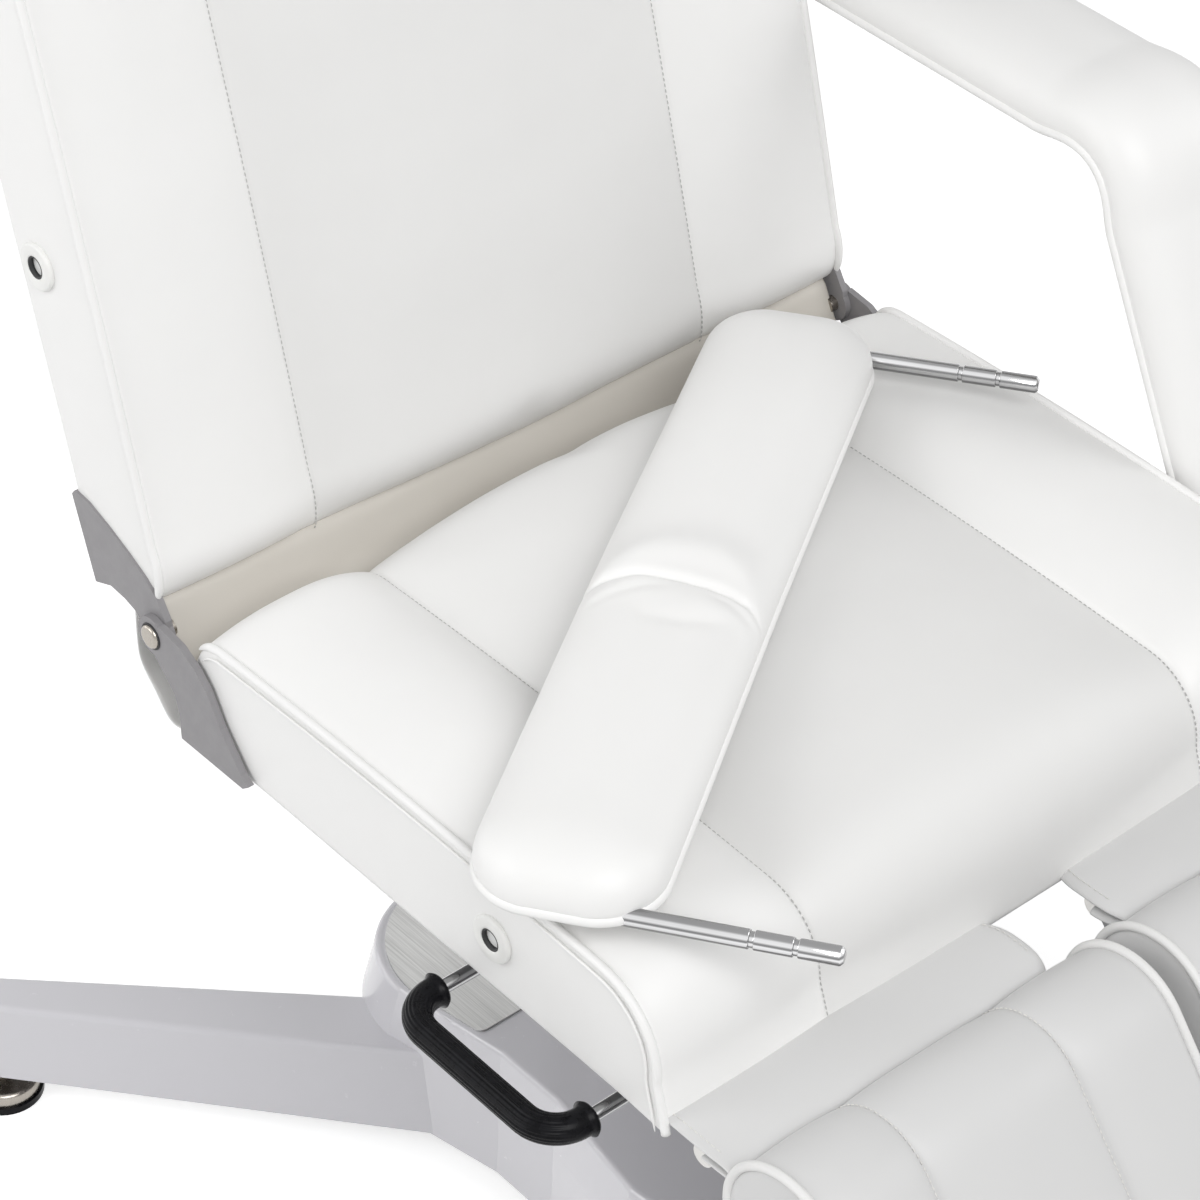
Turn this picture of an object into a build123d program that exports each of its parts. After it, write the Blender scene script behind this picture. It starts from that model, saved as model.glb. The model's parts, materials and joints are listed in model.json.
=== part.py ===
from build123d import *
import math
import os

# Hydraulic treatment chair with a reclining back, split leg rests and folding armrests.
# Origin: on the floor, on the axis of the lifting column. +Z is up, the chair faces -Y.
# The sitter's right side is -X. All lengths are in millimetres, all angles in degrees.

# Fits and overruns shared by every piece
run_gap = 0.1          # radial gap of a shaft that turns or slides in its hole
side_gap = 0.3         # gap between flat faces that move past each other
pocket_gap = 0.5       # gap between a cushion and the metal let into it
cut_over = 5.0         # how far a cutting tool runs past the face that it cuts

# Main places
hinge_y = 165.0        # axis of the backrest hinge
hinge_z = 545.0
back_lean = 18.3       # lean of the backrest from upright, at rest
leg_hang = 50.0        # angle of the leg rests below level, at rest
leg_pivot_y = -343.0   # axis of the leg-rest hinges
leg_pivot_z = 470.0

# Seat
seat_half = 304.0
seat_rear_y = 129.0
seat_front_y = -322.0
seat_low_z = 479.0
seat_top_z = 562.0     # height of the sewn seams
seat_seam_x = 168.0
seat_edge_lift = 8.0   # piping above the seams
seat_side_crown = 20.0
seat_mid_crown = 29.0
seat_rear_round = 28.0
seat_front_round = 50.0
seat_camber = 4.0      # rise of the top line between rear and front
draw_in = 3.0          # how far a boxed side pulls in between its corners
board_thick = 12.0
board_margin = 6.0

# Seat frame of square tube
tube_size = 30.0
tube_wall = 2.0
frame_inset = 64.0     # centre of the side tubes inside the seat's side
frame_front_y = -285.0
frame_rear_y = 65.0
frame_cross_y = 60.0
cross_half_gap = 15.0

# Backrest
back_foot = 20.0       # lower edge, measured up the back from the hinge axis
back_length = 620.0
back_rear = 64.0       # rear face behind the plane through the hinge axis
back_seam = 10.0       # sewn seams in front of that plane
back_seam_x = 172.0
back_edge_lift = 4.0
back_side_crown = 15.0
back_mid_crown = 22.0
back_corner = 60.0
back_foot_round = 40.0
back_top_round = 50.0
back_rear_round = 25.0
back_tube = 25.0
back_riser_x = 200.0
back_cross_low = 22.5
back_cross_drop = 50.0 # upper cross tube below the top of the back

# Headrest
head_half = 140.0
head_gap = 18.0        # between the top of the back and the headrest
head_length = 200.0
head_front = 6.0
head_crown = 16.0
head_thick = 58.0
head_board = 10.0
head_corner = 45.0
post_r = 7.0
post_x = 75.0
post_share = 0.484     # length of a post, as a share of the back's length
post_socket_wall = 3.5
post_socket_share = 0.306
post_clamp = 34.0

# Hinges between seat and back
plate_thick = 5.0
pin_r = 6.0
pin_head_r = 8.5
pin_head_rise = 3.0
knuckle_r = 14.0
plate_reach = 100.0    # how far the seat plates run forward of the hinge axis
plate_drop = 67.0      # how far they run below it
back_plate_reach = 90.0
back_plate_height = 70.0

# Armrest joints: the two pins in the side view, from the backrest hinge, and the elbow's distance from each
arm_front_y = -333.7
arm_front_z = -22.4
arm_rear_y = 112.7
arm_rear_z = 222.6
arm_front_length = 268.0
arm_rear_length = 316.0
arm_pin_r = 6.0
arm_pin_length = 110.0
arm_groove_depth = 1.2
arm_groove_width = 3.0
arm_groove_near = 28.0
arm_groove_far = 54.0
arm_pin_chamfer = 2.0
socket_gap = 0.6       # lets the rear pin wander a little as the back reclines
socket_wall = 2.5
socket_length = 130.0
grommet_r = 16.5
grommet_thick = 2.5
grommet_hole_r = 6.8

# Armrest pads
arm_clear = 10.0       # gap between the seat's side and a fitted pad
arm_width = 118.0
arm_thick = 41.0
arm_under = 3.5        # underside of a pad below the axes of its pins
arm_band = 10.0        # height of the piped band round the underside
arm_crown = 8.0
arm_end = 12.0         # pad beyond each pin
arm_corner = 42.0      # corners of a pad's end, in plan
arm_shoulder = 26.0    # width of the rounded long upper edges
arm_tip_round = 45.0   # length of the rounded upper end
arm_rise = 1.2         # slope of each section up to the elbow
arm_strip_thick = 3.0
arm_strip_width = 34.0
arm_boss_r = 9.0
elbow_knuckle_r = 6.0
elbow_clear_r = 14.0   # room round the elbow hinge
elbow_pin_r = 2.5

# Loose armrest on the seat
loose_turn = 57.3      # plan angle between its long axis and +Y
loose_tilt = 3.0       # roll about the long axis, pins up
loose_x = -30.4        # middle between its two pins
loose_y = -121.0
loose_z = 600.8

# Leg rests
leg_inner = 10.0
leg_step = 4.0         # a leg rest's outer side inside the seat's side
leg_seam_inner = 95.0
leg_seam_inset = 81.0  # outer seam inside the outer side
leg_end_r = 45.5       # radius of the rounded upper end
leg_end_y = 50.0       # its centre, out from the pivot
leg_end_z = 57.7       # its centre, above the pivot
leg_length = 514.0
leg_crown = 9.0
leg_edge_lift = 3.0
leg_toe_round = 40.0
leg_arm_tube = 20.0
leg_arm_inner = 62.0
leg_arm_inset = 52.0   # outer arm inside the outer side
leg_arm_reach = 440.0
leg_shaft_r = 8.0
leg_knuckle_r = 11.5
leg_ear_thick = 6.0
leg_ear_r = 11.0

# Front flaps and rear gusset
cloth = 1.6            # two layers of vinyl with a backing
flap_inner = 27.0
flap_top_z = 489.0
flap_fold_y = -368.0
flap_fold_r = 2.5
gusset_inset = 12.0    # its ends inside the seat's sides
gusset_low_z = 461.0
gusset_back_y = 204.0

# Gas springs
spring_z = 433.0
spring_r = 11.0
spring_rod_r = 5.0
spring_pin_r = 5.0
spring_eye = 14.0
back_spring_x = 115.0
back_spring_front_y = -170.0
back_spring_rear_y = 60.0
back_rod_overlap = 25.0
leg_spring_x = 150.0
leg_spring_rear_y = -110.0
leg_spring_front_y = -290.0
leg_rod_overlap = 95.0
lever_thick = 6.0
lever_rim = 8.0
back_half_sweep = 29.0
leg_half_sweep = 25.0
back_slot_side = 2.6   # play of the roller across the slot
leg_slot_side = 0.9

# Release bars
bar_r = 4.75
bar_out = 44.0         # centre of the grip outside the seat's side
bar_into = 11.0        # the rods end this far past the middle of the hollow side tubes
bar_z = 465.0
bar_rear_y = -137.0
bar_front_y = -275.0
bar_bend = 24.0
grip_r = 9.75
grip_collar_r = 12.0
grip_collar = 4.0
grip_out = 14.0        # start of the grip outside the seat's side
bush_wall = 3.0
bush_length = 26.0

# Column
floor_gap = 8.0
cylinder_r = 45.0
cylinder_wall = 9.0
cylinder_low_z = 48.0
cylinder_top_z = 318.0
gland_height = 12.0
gland_r = 49.0
piston_r = 30.0
piston_low_z = 66.0
piston_head_height = 22.0
piston_top_z = 425.0
flange_r = 80.0
flange_thick = 8.0
spigot_r = 15.0
spigot_length = 40.0
carrier_half_x = 90.0
carrier_half_y = 120.0
carrier_thick = 8.0
collar_r = 51.0
collar_height = 9.0

# Base
foot_x = 335.0
foot_y = 350.0
leg_root_width = 84.0
leg_root_top_width = 71.0
leg_tip_width = 36.0
leg_tip_top_width = 31.0
leg_root_low = 26.0
leg_tip_low = 31.0
leg_root_top = 105.5
leg_tip_top = 100.0
leg_tip_over = 34.0    # leg beyond the middle of its foot
leg_edge_round = 4.5
shell_wall = 4.0
house_low_z = 26.0
house_waist_z = 100.0
house_top_z = 150.0
house_waist_half = 120.0
house_waist_y = 30.0
house_end_half = 135.0
house_end_y = 125.0
house_round = 80.0
house_flare = 7.0
house_edge_round = 5.0
plate_front_y = 53.0
cover_thick = 2.0
cover_margin = 5.0
cover_corner = 7.0
foot_disc_r = 28.0
foot_disc_height = 11.0
foot_pad_r = 30.0
foot_pad_height = 6.0
foot_stud_r = 6.0
foot_stud_top = 52.0
cross_width = 22.0
cross_low_z = 38.0
cross_top_z = 82.0

# Foot pump
pump_width = 90.0
pump_depth = 70.0
pump_low_z = 42.0
pump_top_z = 128.0
pump_y = 90.0
pedal_pivot_y = 158.0
pedal_pivot_z = 84.0
pedal_arm = 14.0
pedal_reach_y = 400.0
pedal_rise = 24.0
pedal_pad_width = 96.0
pedal_pad_depth = 56.0
pedal_pad_thick = 12.0
pedal_shaft_r = 7.0
pedal_shaft_half = 34.0
pedal_ear = 8.0


# Places that follow from these
back_half = seat_half
frame_half = seat_half - frame_inset
leg_outer = seat_half - leg_step
leg_seam_outer = leg_outer - leg_seam_inset
leg_arm_outer = leg_outer - leg_arm_inset
gusset_half = seat_half - gusset_inset
bar_inner = frame_half - bar_into
bar_reach = seat_half + bar_out
grip_start = seat_half + grip_out
arm_inner = seat_half + arm_clear
back_cross_mid = back_foot + back_length / 2
back_cross_top = back_foot + back_length - back_cross_drop
post_length = back_length * post_share
post_socket_length = back_length * post_socket_share
pad_low = -arm_under


def placed_back(shape):
    """Lean a shape that is drawn upright, hinge axis at the origin, to the backrest's rest pose."""
    return Location((0, hinge_y, hinge_z)) * Rot(-back_lean, 0, 0) * shape


def placed_leg(shape):
    """Hang a shape that is drawn level, pivot axis at the origin, to the leg rests' rest pose."""
    return Location((0, leg_pivot_y, leg_pivot_z)) * Rot(leg_hang, 0, 0) * shape


def box_between(low, high):
    """A box from its lowest to its highest corner."""
    size = [high[i] - low[i] for i in range(3)]
    middle = [(high[i] + low[i]) / 2 for i in range(3)]
    return Pos(*middle) * Box(*size)


def rod_x(y, z, radius, x_low, x_high):
    """A round bar along X."""
    return extrude(Plane.YZ.offset(x_low) * Pos(y, z) * Circle(radius), amount=x_high - x_low)


def bore_x(y, z, radius, x_low, x_high):
    """A hole along X, cut past both of its ends."""
    return rod_x(y, z, radius, x_low - cut_over, x_high + cut_over)


def rod_y(x, z, radius, y_low, y_high):
    """A round bar along Y."""
    return Pos(x, (y_low + y_high) / 2, z) * Rot(90, 0, 0) * Cylinder(radius, y_high - y_low)


def rod_z(x, y, radius, z_low, z_high):
    """A round bar along Z."""
    return Pos(x, y, (z_low + z_high) / 2) * Cylinder(radius, z_high - z_low)


def side_plate(points, x_low, x_high, margin=0):
    """A plate whose outline is given in the side view, from one X to another, grown by a margin."""
    outline = make_face(Polyline(*points, close=True))
    if margin:
        outline = offset(outline, amount=margin)
    return extrude(Plane.YZ.offset(x_low) * outline, amount=x_high - x_low)


def square_tube(low, high, axis, wall):
    """An open-ended square tube along the axis, 0 for X, 1 for Y, 2 for Z."""
    inner_low = [c if i == axis else c + wall for i, c in enumerate(low)]
    inner_high = [c if i == axis else c - wall for i, c in enumerate(high)]
    inner_low[axis] -= cut_over
    inner_high[axis] += cut_over
    return box_between(low, high) - box_between(inner_low, inner_high)


def both_sides(shape):
    """A shape on the -X side and its mirror image on the +X side."""
    return [shape, mirror(shape, about=Plane.YZ)]


def save(name, *shapes):
    """Write one node, made of one or more separate solids."""
    solids = [solid for shape in shapes for solid in shape.solids()]
    export_step(solids[0] if len(solids) == 1 else Compound(children=solids), f"parts/{name}.step")


def outline_at(x, corners):
    """A closed outline in the side view at one X. Each corner is (y, z) or, for an arc, (mid, end)."""
    edges = []
    at = corners[0]
    for corner in corners[1:] + [corners[0]]:
        if isinstance(corner[0], tuple):
            middle, end = corner
            edges.append(ThreePointArc((x, *at), (x, *middle), (x, *end)))
            at = end
        else:
            edges.append(Line((x, *at), (x, *corner)))
            at = corner
    return make_face(edges)


def panel_cushion(stations, outline):
    """A cushion of crowned panels. Stations are (x, lift), each panel has its two edges and its middle.

    Two panels meet in a valley, which is the sewn channel between them.
    """
    panels = []
    for first in range(0, len(stations) - 2, 2):
        panels.append(loft([outline_at(x, outline(lift)) for x, lift in stations[first:first + 3]]))
    cushion = panels[0]
    for panel in panels[1:]:
        cushion = cushion + panel
    return cushion


# Seat
def seat_outline(lift):
    """Side view of the seat cushion, lifted by its crown. The front rolls over in a waterfall."""
    rear_top = seat_top_z - seat_rear_round + lift / 2
    front_top = seat_top_z - seat_front_round
    front_y = seat_front_y + board_thick - lift / 3
    roll = math.sqrt(0.5)
    return [
        (seat_rear_y, seat_low_z),
        (seat_rear_y, rear_top),
        ((seat_rear_y - seat_rear_round * (1 - roll), rear_top + (seat_top_z + lift - rear_top) * roll),
         (seat_rear_y - seat_rear_round, seat_top_z + lift)),
        (((seat_rear_y + seat_front_y) / 2, seat_top_z + lift + seat_camber),
         (front_y + seat_front_round, seat_top_z + lift)),
        ((front_y + seat_front_round * (1 - roll), front_top + (seat_front_round + lift) * roll),
         (front_y, front_top)),
        (seat_front_y, seat_low_z),
    ]


def plan_mask(half, y_low, y_high, corner, z_low, z_high):
    """A tall block whose long sides pull in between the corners."""
    middle = (y_low + y_high) / 2
    round_over = min(corner, half)
    outline = make_face([
        Line((-half + round_over, y_low), (half - round_over, y_low)),
        TangentArc((half - round_over, y_low), (half, y_low + round_over), tangent=(1, 0)),
        ThreePointArc((half, y_low + round_over), (half - draw_in, middle), (half, y_high - round_over)),
        TangentArc((half, y_high - round_over), (half - round_over, y_high), tangent=(0, 1)),
        Line((half - round_over, y_high), (-half + round_over, y_high)),
        TangentArc((-half + round_over, y_high), (-half, y_high - round_over), tangent=(-1, 0)),
        ThreePointArc((-half, y_high - round_over), (-half + draw_in, middle), (-half, y_low + round_over)),
        TangentArc((-half, y_low + round_over), (-half + round_over, y_low), tangent=(0, -1)),
    ])
    return extrude(Pos(0, 0, z_low) * outline, amount=z_high - z_low)


arm_front_abs_y = hinge_y + arm_front_y
arm_front_abs_z = hinge_z + arm_front_z
socket_r = arm_pin_r + socket_gap
socket_outer_r = socket_r + socket_wall
plate_inner = seat_half + pocket_gap
plate_outer = plate_inner + plate_thick
back_plate_outer = plate_inner - side_gap
back_plate_inner = back_plate_outer - plate_thick


def make_seat():
    side_middle = (seat_half + seat_seam_x) / 2
    stations = [
        (-seat_half - cut_over, seat_edge_lift), (-side_middle, seat_side_crown), (-seat_seam_x, 0),
        (0, seat_mid_crown),
        (seat_seam_x, 0), (side_middle, seat_side_crown), (seat_half + cut_over, seat_edge_lift),
    ]
    cushion = panel_cushion(stations, seat_outline)
    mask = plan_mask(
        seat_half, seat_front_y - seat_front_round, seat_rear_y + cut_over, board_margin,
        seat_low_z - cut_over, seat_top_z + seat_front_round,
    )
    cushion = cushion & mask
    board = box_between(
        (-seat_half + board_margin, seat_front_y + board_margin, seat_low_z),
        (seat_half - board_margin, seat_rear_y - board_margin, seat_low_z + board_thick),
    )
    cushion -= board
    tubes = []
    for side in (-1, 1):
        inner = side * seat_half
        deep = side * (seat_half - socket_length)
        tubes.append((min(inner, deep), max(inner, deep)))
    sockets = []
    for x_low, x_high in tubes:
        outer = rod_x(arm_front_abs_y, arm_front_abs_z, socket_outer_r, x_low, x_high)
        cushion -= bore_x(arm_front_abs_y, arm_front_abs_z, socket_outer_r, x_low, x_high)
        bore = bore_x(arm_front_abs_y, arm_front_abs_z, socket_r, x_low, x_high)
        sockets.append(outer - bore)
    save("seat_cushion", cushion)
    save("seat_board", board)
    save("seat_socket_tubes", *sockets)
    grommet = rod_x(arm_front_abs_y, arm_front_abs_z, grommet_r, -seat_half - grommet_thick, -seat_half)
    grommet -= bore_x(
        arm_front_abs_y, arm_front_abs_z, grommet_hole_r, -seat_half - grommet_thick, -seat_half)
    save("seat_grommets", *both_sides(grommet))


def make_seat_frame():
    low_z = seat_low_z - tube_size
    half = tube_size / 2
    tubes = []
    for side in (-1, 1):
        x = side * frame_half
        tube = square_tube(
            (x - half, frame_front_y - half, low_z), (x + half, frame_rear_y + half, seat_low_z),
            1, tube_wall)
        hole = sorted((side * bar_inner, side * (frame_half + half + cut_over)))
        for y in (bar_front_y, bar_rear_y):
            tube -= rod_x(y, bar_z, bar_r + run_gap, *hole)
        tubes.append(tube)
    inner = frame_half - half
    for y in (frame_front_y, -frame_cross_y, frame_cross_y):
        tubes.append(square_tube((-inner, y - half, low_z), (inner, y + half, seat_low_z), 0, tube_wall))
    ears = []
    for x in leg_ear_places():
        ear = side_plate([
            (frame_front_y - half, low_z),
            (frame_front_y - half, seat_low_z),
            (leg_pivot_y, seat_low_z),
            (leg_pivot_y, leg_pivot_z - leg_ear_r),
        ], x - leg_ear_thick / 2, x + leg_ear_thick / 2)
        ear += rod_x(leg_pivot_y, leg_pivot_z, leg_ear_r, x - leg_ear_thick / 2, x + leg_ear_thick / 2)
        ear -= bore_x(leg_pivot_y, leg_pivot_z, leg_shaft_r, x - leg_ear_thick / 2, x + leg_ear_thick / 2)
        ears.append(ear)
    save("seat_frame", *tubes, *ears, *release_bushes())
    shafts = []
    for side in (-1, 1):
        ends = sorted((side * (flap_inner + 2 * leg_shaft_r), side * (leg_outer - leg_inner)))
        shafts.append(rod_x(leg_pivot_y, leg_pivot_z, leg_shaft_r, *ends))
    save("leg_hinge_shafts", *shafts)


def leg_ear_places():
    """The ears stand beside the leg arms, on the side towards the middle of each leg rest."""
    offset = leg_arm_tube / 2 + side_gap + leg_ear_thick / 2
    return [side * x for side in (-1, 1) for x in (leg_arm_inner + offset, leg_arm_outer - offset)]


# Hinges between seat and back: outlines in the side view, as shares of each plate's reach and height
seat_plate_shares = [
    (-0.29, -1.0), (-0.94, -0.985), (-1.0, -0.91), (-0.93, -0.836), (-0.72, -0.463), (-0.58, -0.134),
    (-0.47, 0.015), (-0.30, 0.149), (-0.08, 0.194),
    (-0.01, -0.194), (-0.14, -0.373), (-0.23, -0.507), (-0.28, -0.731),
]
back_plate_shares = [
    (1.0, 0.843), (0.756, 0.0), (0.70, 0.029), (0.567, 0.1), (0.40, 0.086), (0.27, 0.043), (0.178, -0.043),
    (0.044, -0.171), (-0.111, 0.129), (-0.1, 0.2), (0.0, 0.386), (0.133, 0.529), (0.322, 0.657),
    (0.556, 0.786), (0.80, 0.886), (0.967, 0.9),
]


def hinge_points(shares, reach, height):
    """Shares of a reach along Y and a height along Z, from the hinge axis."""
    return [(hinge_y + y * reach, hinge_z + z * height) for y, z in shares]


def back_plate_points():
    return hinge_points(back_plate_shares, back_plate_reach, back_plate_height)


def make_hinges():
    seat_points = hinge_points(seat_plate_shares, plate_reach, plate_drop)
    seat_plate = side_plate(seat_points, -plate_outer, -plate_inner)
    seat_plate += rod_x(hinge_y, hinge_z, knuckle_r, -plate_outer, -plate_inner)
    seat_plate -= bore_x(hinge_y, hinge_z, pin_r, -plate_outer, -plate_inner)
    back_plate = side_plate(back_plate_points(), -back_plate_outer, -back_plate_inner)
    back_plate += rod_x(hinge_y, hinge_z, knuckle_r - side_gap, -back_plate_outer, -back_plate_inner)
    back_plate -= bore_x(hinge_y, hinge_z, pin_r + run_gap, -back_plate_outer, -back_plate_inner)
    head = rod_x(hinge_y, hinge_z, pin_head_r, -plate_outer - pin_head_rise, -plate_outer)
    head = fillet(head.edges().group_by(Axis.X)[0], pin_head_rise * 0.8)
    pin = head + rod_x(hinge_y, hinge_z, pin_r, -plate_outer, -back_plate_inner + pin_r)
    save("seat_hinge_plates", *both_sides(seat_plate))
    save("back_hinge_plates", *both_sides(back_plate))
    save("hinge_pins", *both_sides(pin))


# Backrest, drawn upright: Y is behind the plane through the hinge, Z is up the back
def back_outline(lift):
    front = -back_seam - lift
    top = back_foot + back_length
    roll = math.sqrt(0.5)
    return [
        (back_rear, top),
        (back_rear, back_foot + back_rear_round),
        ((back_rear - back_rear_round * (1 - roll), back_foot + back_rear_round * (1 - roll)),
         (back_rear - back_rear_round, back_foot)),
        (0, back_foot),
        ((front * roll, back_foot + back_foot_round * (1 - roll)), (front, back_foot + back_foot_round)),
        ((front - seat_camber, (back_foot + top) / 2), (front, top - back_top_round)),
        ((front + back_top_round * (1 - roll) / 2, top - back_top_round * (1 - roll)),
         (back_top_round / 2, top)),
    ]


def front_mask(half, low, high, corner):
    """The front view of an upright cushion: rounded top corners, sides that pull in."""
    middle = (low + high) / 2
    outline = make_face([
        Line((-half, low), (half, low)),
        ThreePointArc((half, low), (half - draw_in, middle), (half, high - corner)),
        TangentArc((half, high - corner), (half - corner, high), tangent=(0, 1)),
        Line((half - corner, high), (-half + corner, high)),
        TangentArc((-half + corner, high), (-half, high - corner), tangent=(-1, 0)),
        ThreePointArc((-half, high - corner), (-half + draw_in, middle), (-half, low)),
    ])
    return extrude(Plane.XZ * outline, amount=back_length, both=True)


def back_socket_place():
    """The armrest socket of the back, in the backrest's own upright frame."""
    lean = math.radians(back_lean)
    rear = arm_rear_y * math.cos(lean) - arm_rear_z * math.sin(lean)
    up = arm_rear_y * math.sin(lean) + arm_rear_z * math.cos(lean)
    return rear, up


def make_back():
    side_middle = (back_half + back_seam_x) / 2
    stations = [
        (-back_half - cut_over, back_edge_lift), (-side_middle, back_side_crown), (-back_seam_x, 0),
        (0, back_mid_crown),
        (back_seam_x, 0), (side_middle, back_side_crown), (back_half + cut_over, back_edge_lift),
    ]
    cushion = panel_cushion(stations, back_outline)
    top = back_foot + back_length
    cushion = cushion & front_mask(back_half, back_foot - cut_over, top + cut_over, back_corner)
    board = box_between(
        (-back_plate_inner, back_rear - board_thick, back_foot + back_rear_round),
        (back_plate_inner, back_rear, top - back_corner),
    )
    cushion -= board
    rear, up = back_socket_place()
    sockets = []
    for side in (-1, 1):
        x_low, x_high = sorted((side * back_half, side * (back_half - socket_length)))
        outer = rod_x(rear, up, socket_outer_r, x_low, x_high)
        cushion -= bore_x(rear, up, socket_outer_r, x_low, x_high)
        sockets.append(placed_back(outer - bore_x(rear, up, socket_r, x_low, x_high)))
    grommet = rod_x(rear, up, grommet_r, -back_half - grommet_thick, -back_half)
    grommet -= bore_x(rear, up, grommet_hole_r, -back_half - grommet_thick, -back_half)
    cushion = placed_back(cushion)
    pocket_reach = pocket_gap + plate_thick
    for pocket in both_sides(side_plate(
            back_plate_points(), -back_half - cut_over, -back_half + pocket_reach, pocket_gap)):
        cushion -= pocket
    knuckle = rod_x(
        hinge_y, hinge_z, knuckle_r + pocket_gap, -back_half - cut_over, -back_half + pocket_reach)
    for pocket in both_sides(knuckle):
        cushion -= pocket
    save("back_cushion", cushion)
    save("back_board", placed_back(board))
    save("back_socket_tubes", *sockets)
    save("back_grommets", *[placed_back(piece) for piece in both_sides(grommet)])


def lever_slot(reach_low, reach_high, angle, half_width, x_low, x_high):
    """A radial slot in the side view: it runs from one radius to the other at an angle from +Y."""
    ends = []
    for reach in (reach_low, reach_high):
        y = reach * math.cos(math.radians(angle))
        z = reach * math.sin(math.radians(angle))
        ends.append(rod_x(y, z, half_width, x_low, x_high))
    across = (-math.sin(math.radians(angle)) * half_width, math.cos(math.radians(angle)) * half_width)
    along = [(reach * math.cos(math.radians(angle)), reach * math.sin(math.radians(angle)))
             for reach in (reach_low, reach_high)]
    corners = [
        (along[0][0] + across[0], along[0][1] + across[1]),
        (along[1][0] + across[0], along[1][1] + across[1]),
        (along[1][0] - across[0], along[1][1] - across[1]),
        (along[0][0] - across[0], along[0][1] - across[1]),
    ]
    return side_plate(corners, x_low, x_high) + ends[0] + ends[1]


def make_back_frame():
    rear_face = back_rear + back_tube
    half = back_tube / 2
    tubes = []
    for side in (-1, 1):
        x = side * back_riser_x
        tubes.append(square_tube(
            (x - half, back_rear, back_cross_low - half), (x + half, rear_face, back_cross_top + half),
            2, tube_wall))
    inner = back_riser_x - half
    post_y = back_rear + half
    for up in (back_cross_low, back_cross_mid, back_cross_top):
        tube = square_tube((-inner, back_rear, up - half), (inner, rear_face, up + half), 0, tube_wall)
        if up > back_cross_mid:
            for x in (-post_x, post_x):
                tube -= rod_z(x, post_y, post_r + run_gap + post_socket_wall, up - back_tube, up + back_tube)
        tubes.append(tube)
    frame = [placed_back(tube) for tube in tubes]
    top = back_cross_top + half
    for x in (-post_x, post_x):
        tube = rod_z(x, post_y, post_r + run_gap + post_socket_wall, top - post_socket_length, top)
        tube -= rod_z(x, post_y, post_r + run_gap, top - post_socket_length - cut_over, top + cut_over)
        frame.append(placed_back(tube))

    # The lever hangs below the frame. Its slot points at the hinge axis.
    drop = hinge_z - spring_z
    reach = drop / math.cos(math.radians(back_half_sweep))
    slot_half = spring_pin_r + back_slot_side
    x_low = back_spring_x + spring_eye / 2 + side_gap
    x_high = x_low + lever_thick
    angle = -90 + back_half_sweep
    rest_angle = math.radians(angle)
    tip = (reach * math.cos(rest_angle), reach * math.sin(rest_angle))
    lean = math.radians(back_lean)
    foot = [
        (back_rear, back_cross_low + half), (rear_face, back_cross_low + half),
        (rear_face, back_cross_low - half), (back_rear, back_cross_low - half),
    ]
    foot = [(y * math.cos(lean) + z * math.sin(lean), z * math.cos(lean) - y * math.sin(lean))
            for y, z in foot]
    outer_r = slot_half + lever_rim
    lever = side_plate([
        foot[0], foot[1], foot[2],
        (tip[0] + outer_r, tip[1]),
        (tip[0], tip[1] - outer_r),
        (tip[0] - outer_r, tip[1] + outer_r / 3),
        (foot[3][0] - lever_rim / 2, foot[3][1] - back_tube),
    ], x_low, x_high)
    lever += rod_x(tip[0], tip[1], outer_r, x_low, x_high)
    lever -= lever_slot(drop, reach, angle, slot_half, x_low - cut_over, x_high + cut_over)
    lever = Pos(0, hinge_y, hinge_z) * lever
    keep_out = placed_back(box_between(
        (x_low - cut_over, back_rear, back_cross_low - half),
        (x_high + cut_over, rear_face, back_cross_low + half)))
    save("back_frame", *frame, lever - keep_out)


def make_headrest():
    low = back_foot + back_length + head_gap
    high = low + head_length
    roll = math.sqrt(0.5)
    rear = back_rear - head_board
    front = rear - head_thick

    def outline(lift):
        bend = front + head_thick * (1 - roll) / 2 - lift / 2
        return [
            (rear, low), (rear, high),
            ((bend, high - head_front), (front - lift, high - head_corner)),
            ((front - lift - head_front, (low + high) / 2), (front - lift, low + head_corner)),
            ((bend, low + head_front), (rear - head_thick / 2, low)),
        ]

    stations = [(-head_half - cut_over, 0), (0, head_crown), (head_half + cut_over, 0)]
    cushion = panel_cushion(stations, outline)
    front_view = Plane.XZ * RectangleRounded(2 * head_half, head_length + 2 * cut_over, head_corner)
    cushion = cushion & extrude(Pos(0, 0, (low + high) / 2) * front_view, amount=back_length, both=True)
    margin = board_margin * 2
    front_view = Plane.XZ * RectangleRounded(
        2 * head_half - margin, head_length - margin, head_corner - margin / 2)
    board = extrude(Pos(0, back_rear, (low + high) / 2) * front_view, amount=head_board)
    post_y = back_rear + back_tube / 2
    foot = low + post_clamp - post_length
    posts = []
    clamps = []
    for x in (-post_x, post_x):
        posts.append(placed_back(rod_z(x, post_y, post_r, foot, low + post_clamp + post_clamp)))
        clamp = box_between(
            (x - post_clamp / 2, back_rear, low + post_clamp / 2),
            (x + post_clamp / 2, back_rear + back_tube, low + post_clamp / 2 + post_clamp))
        clamps.append(placed_back(clamp - rod_z(x, post_y, post_r, low, high)))
    save("headrest_cushion", placed_back(cushion))
    save("headrest_board", placed_back(board))
    save("headrest_posts", *posts, *clamps)


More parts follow.
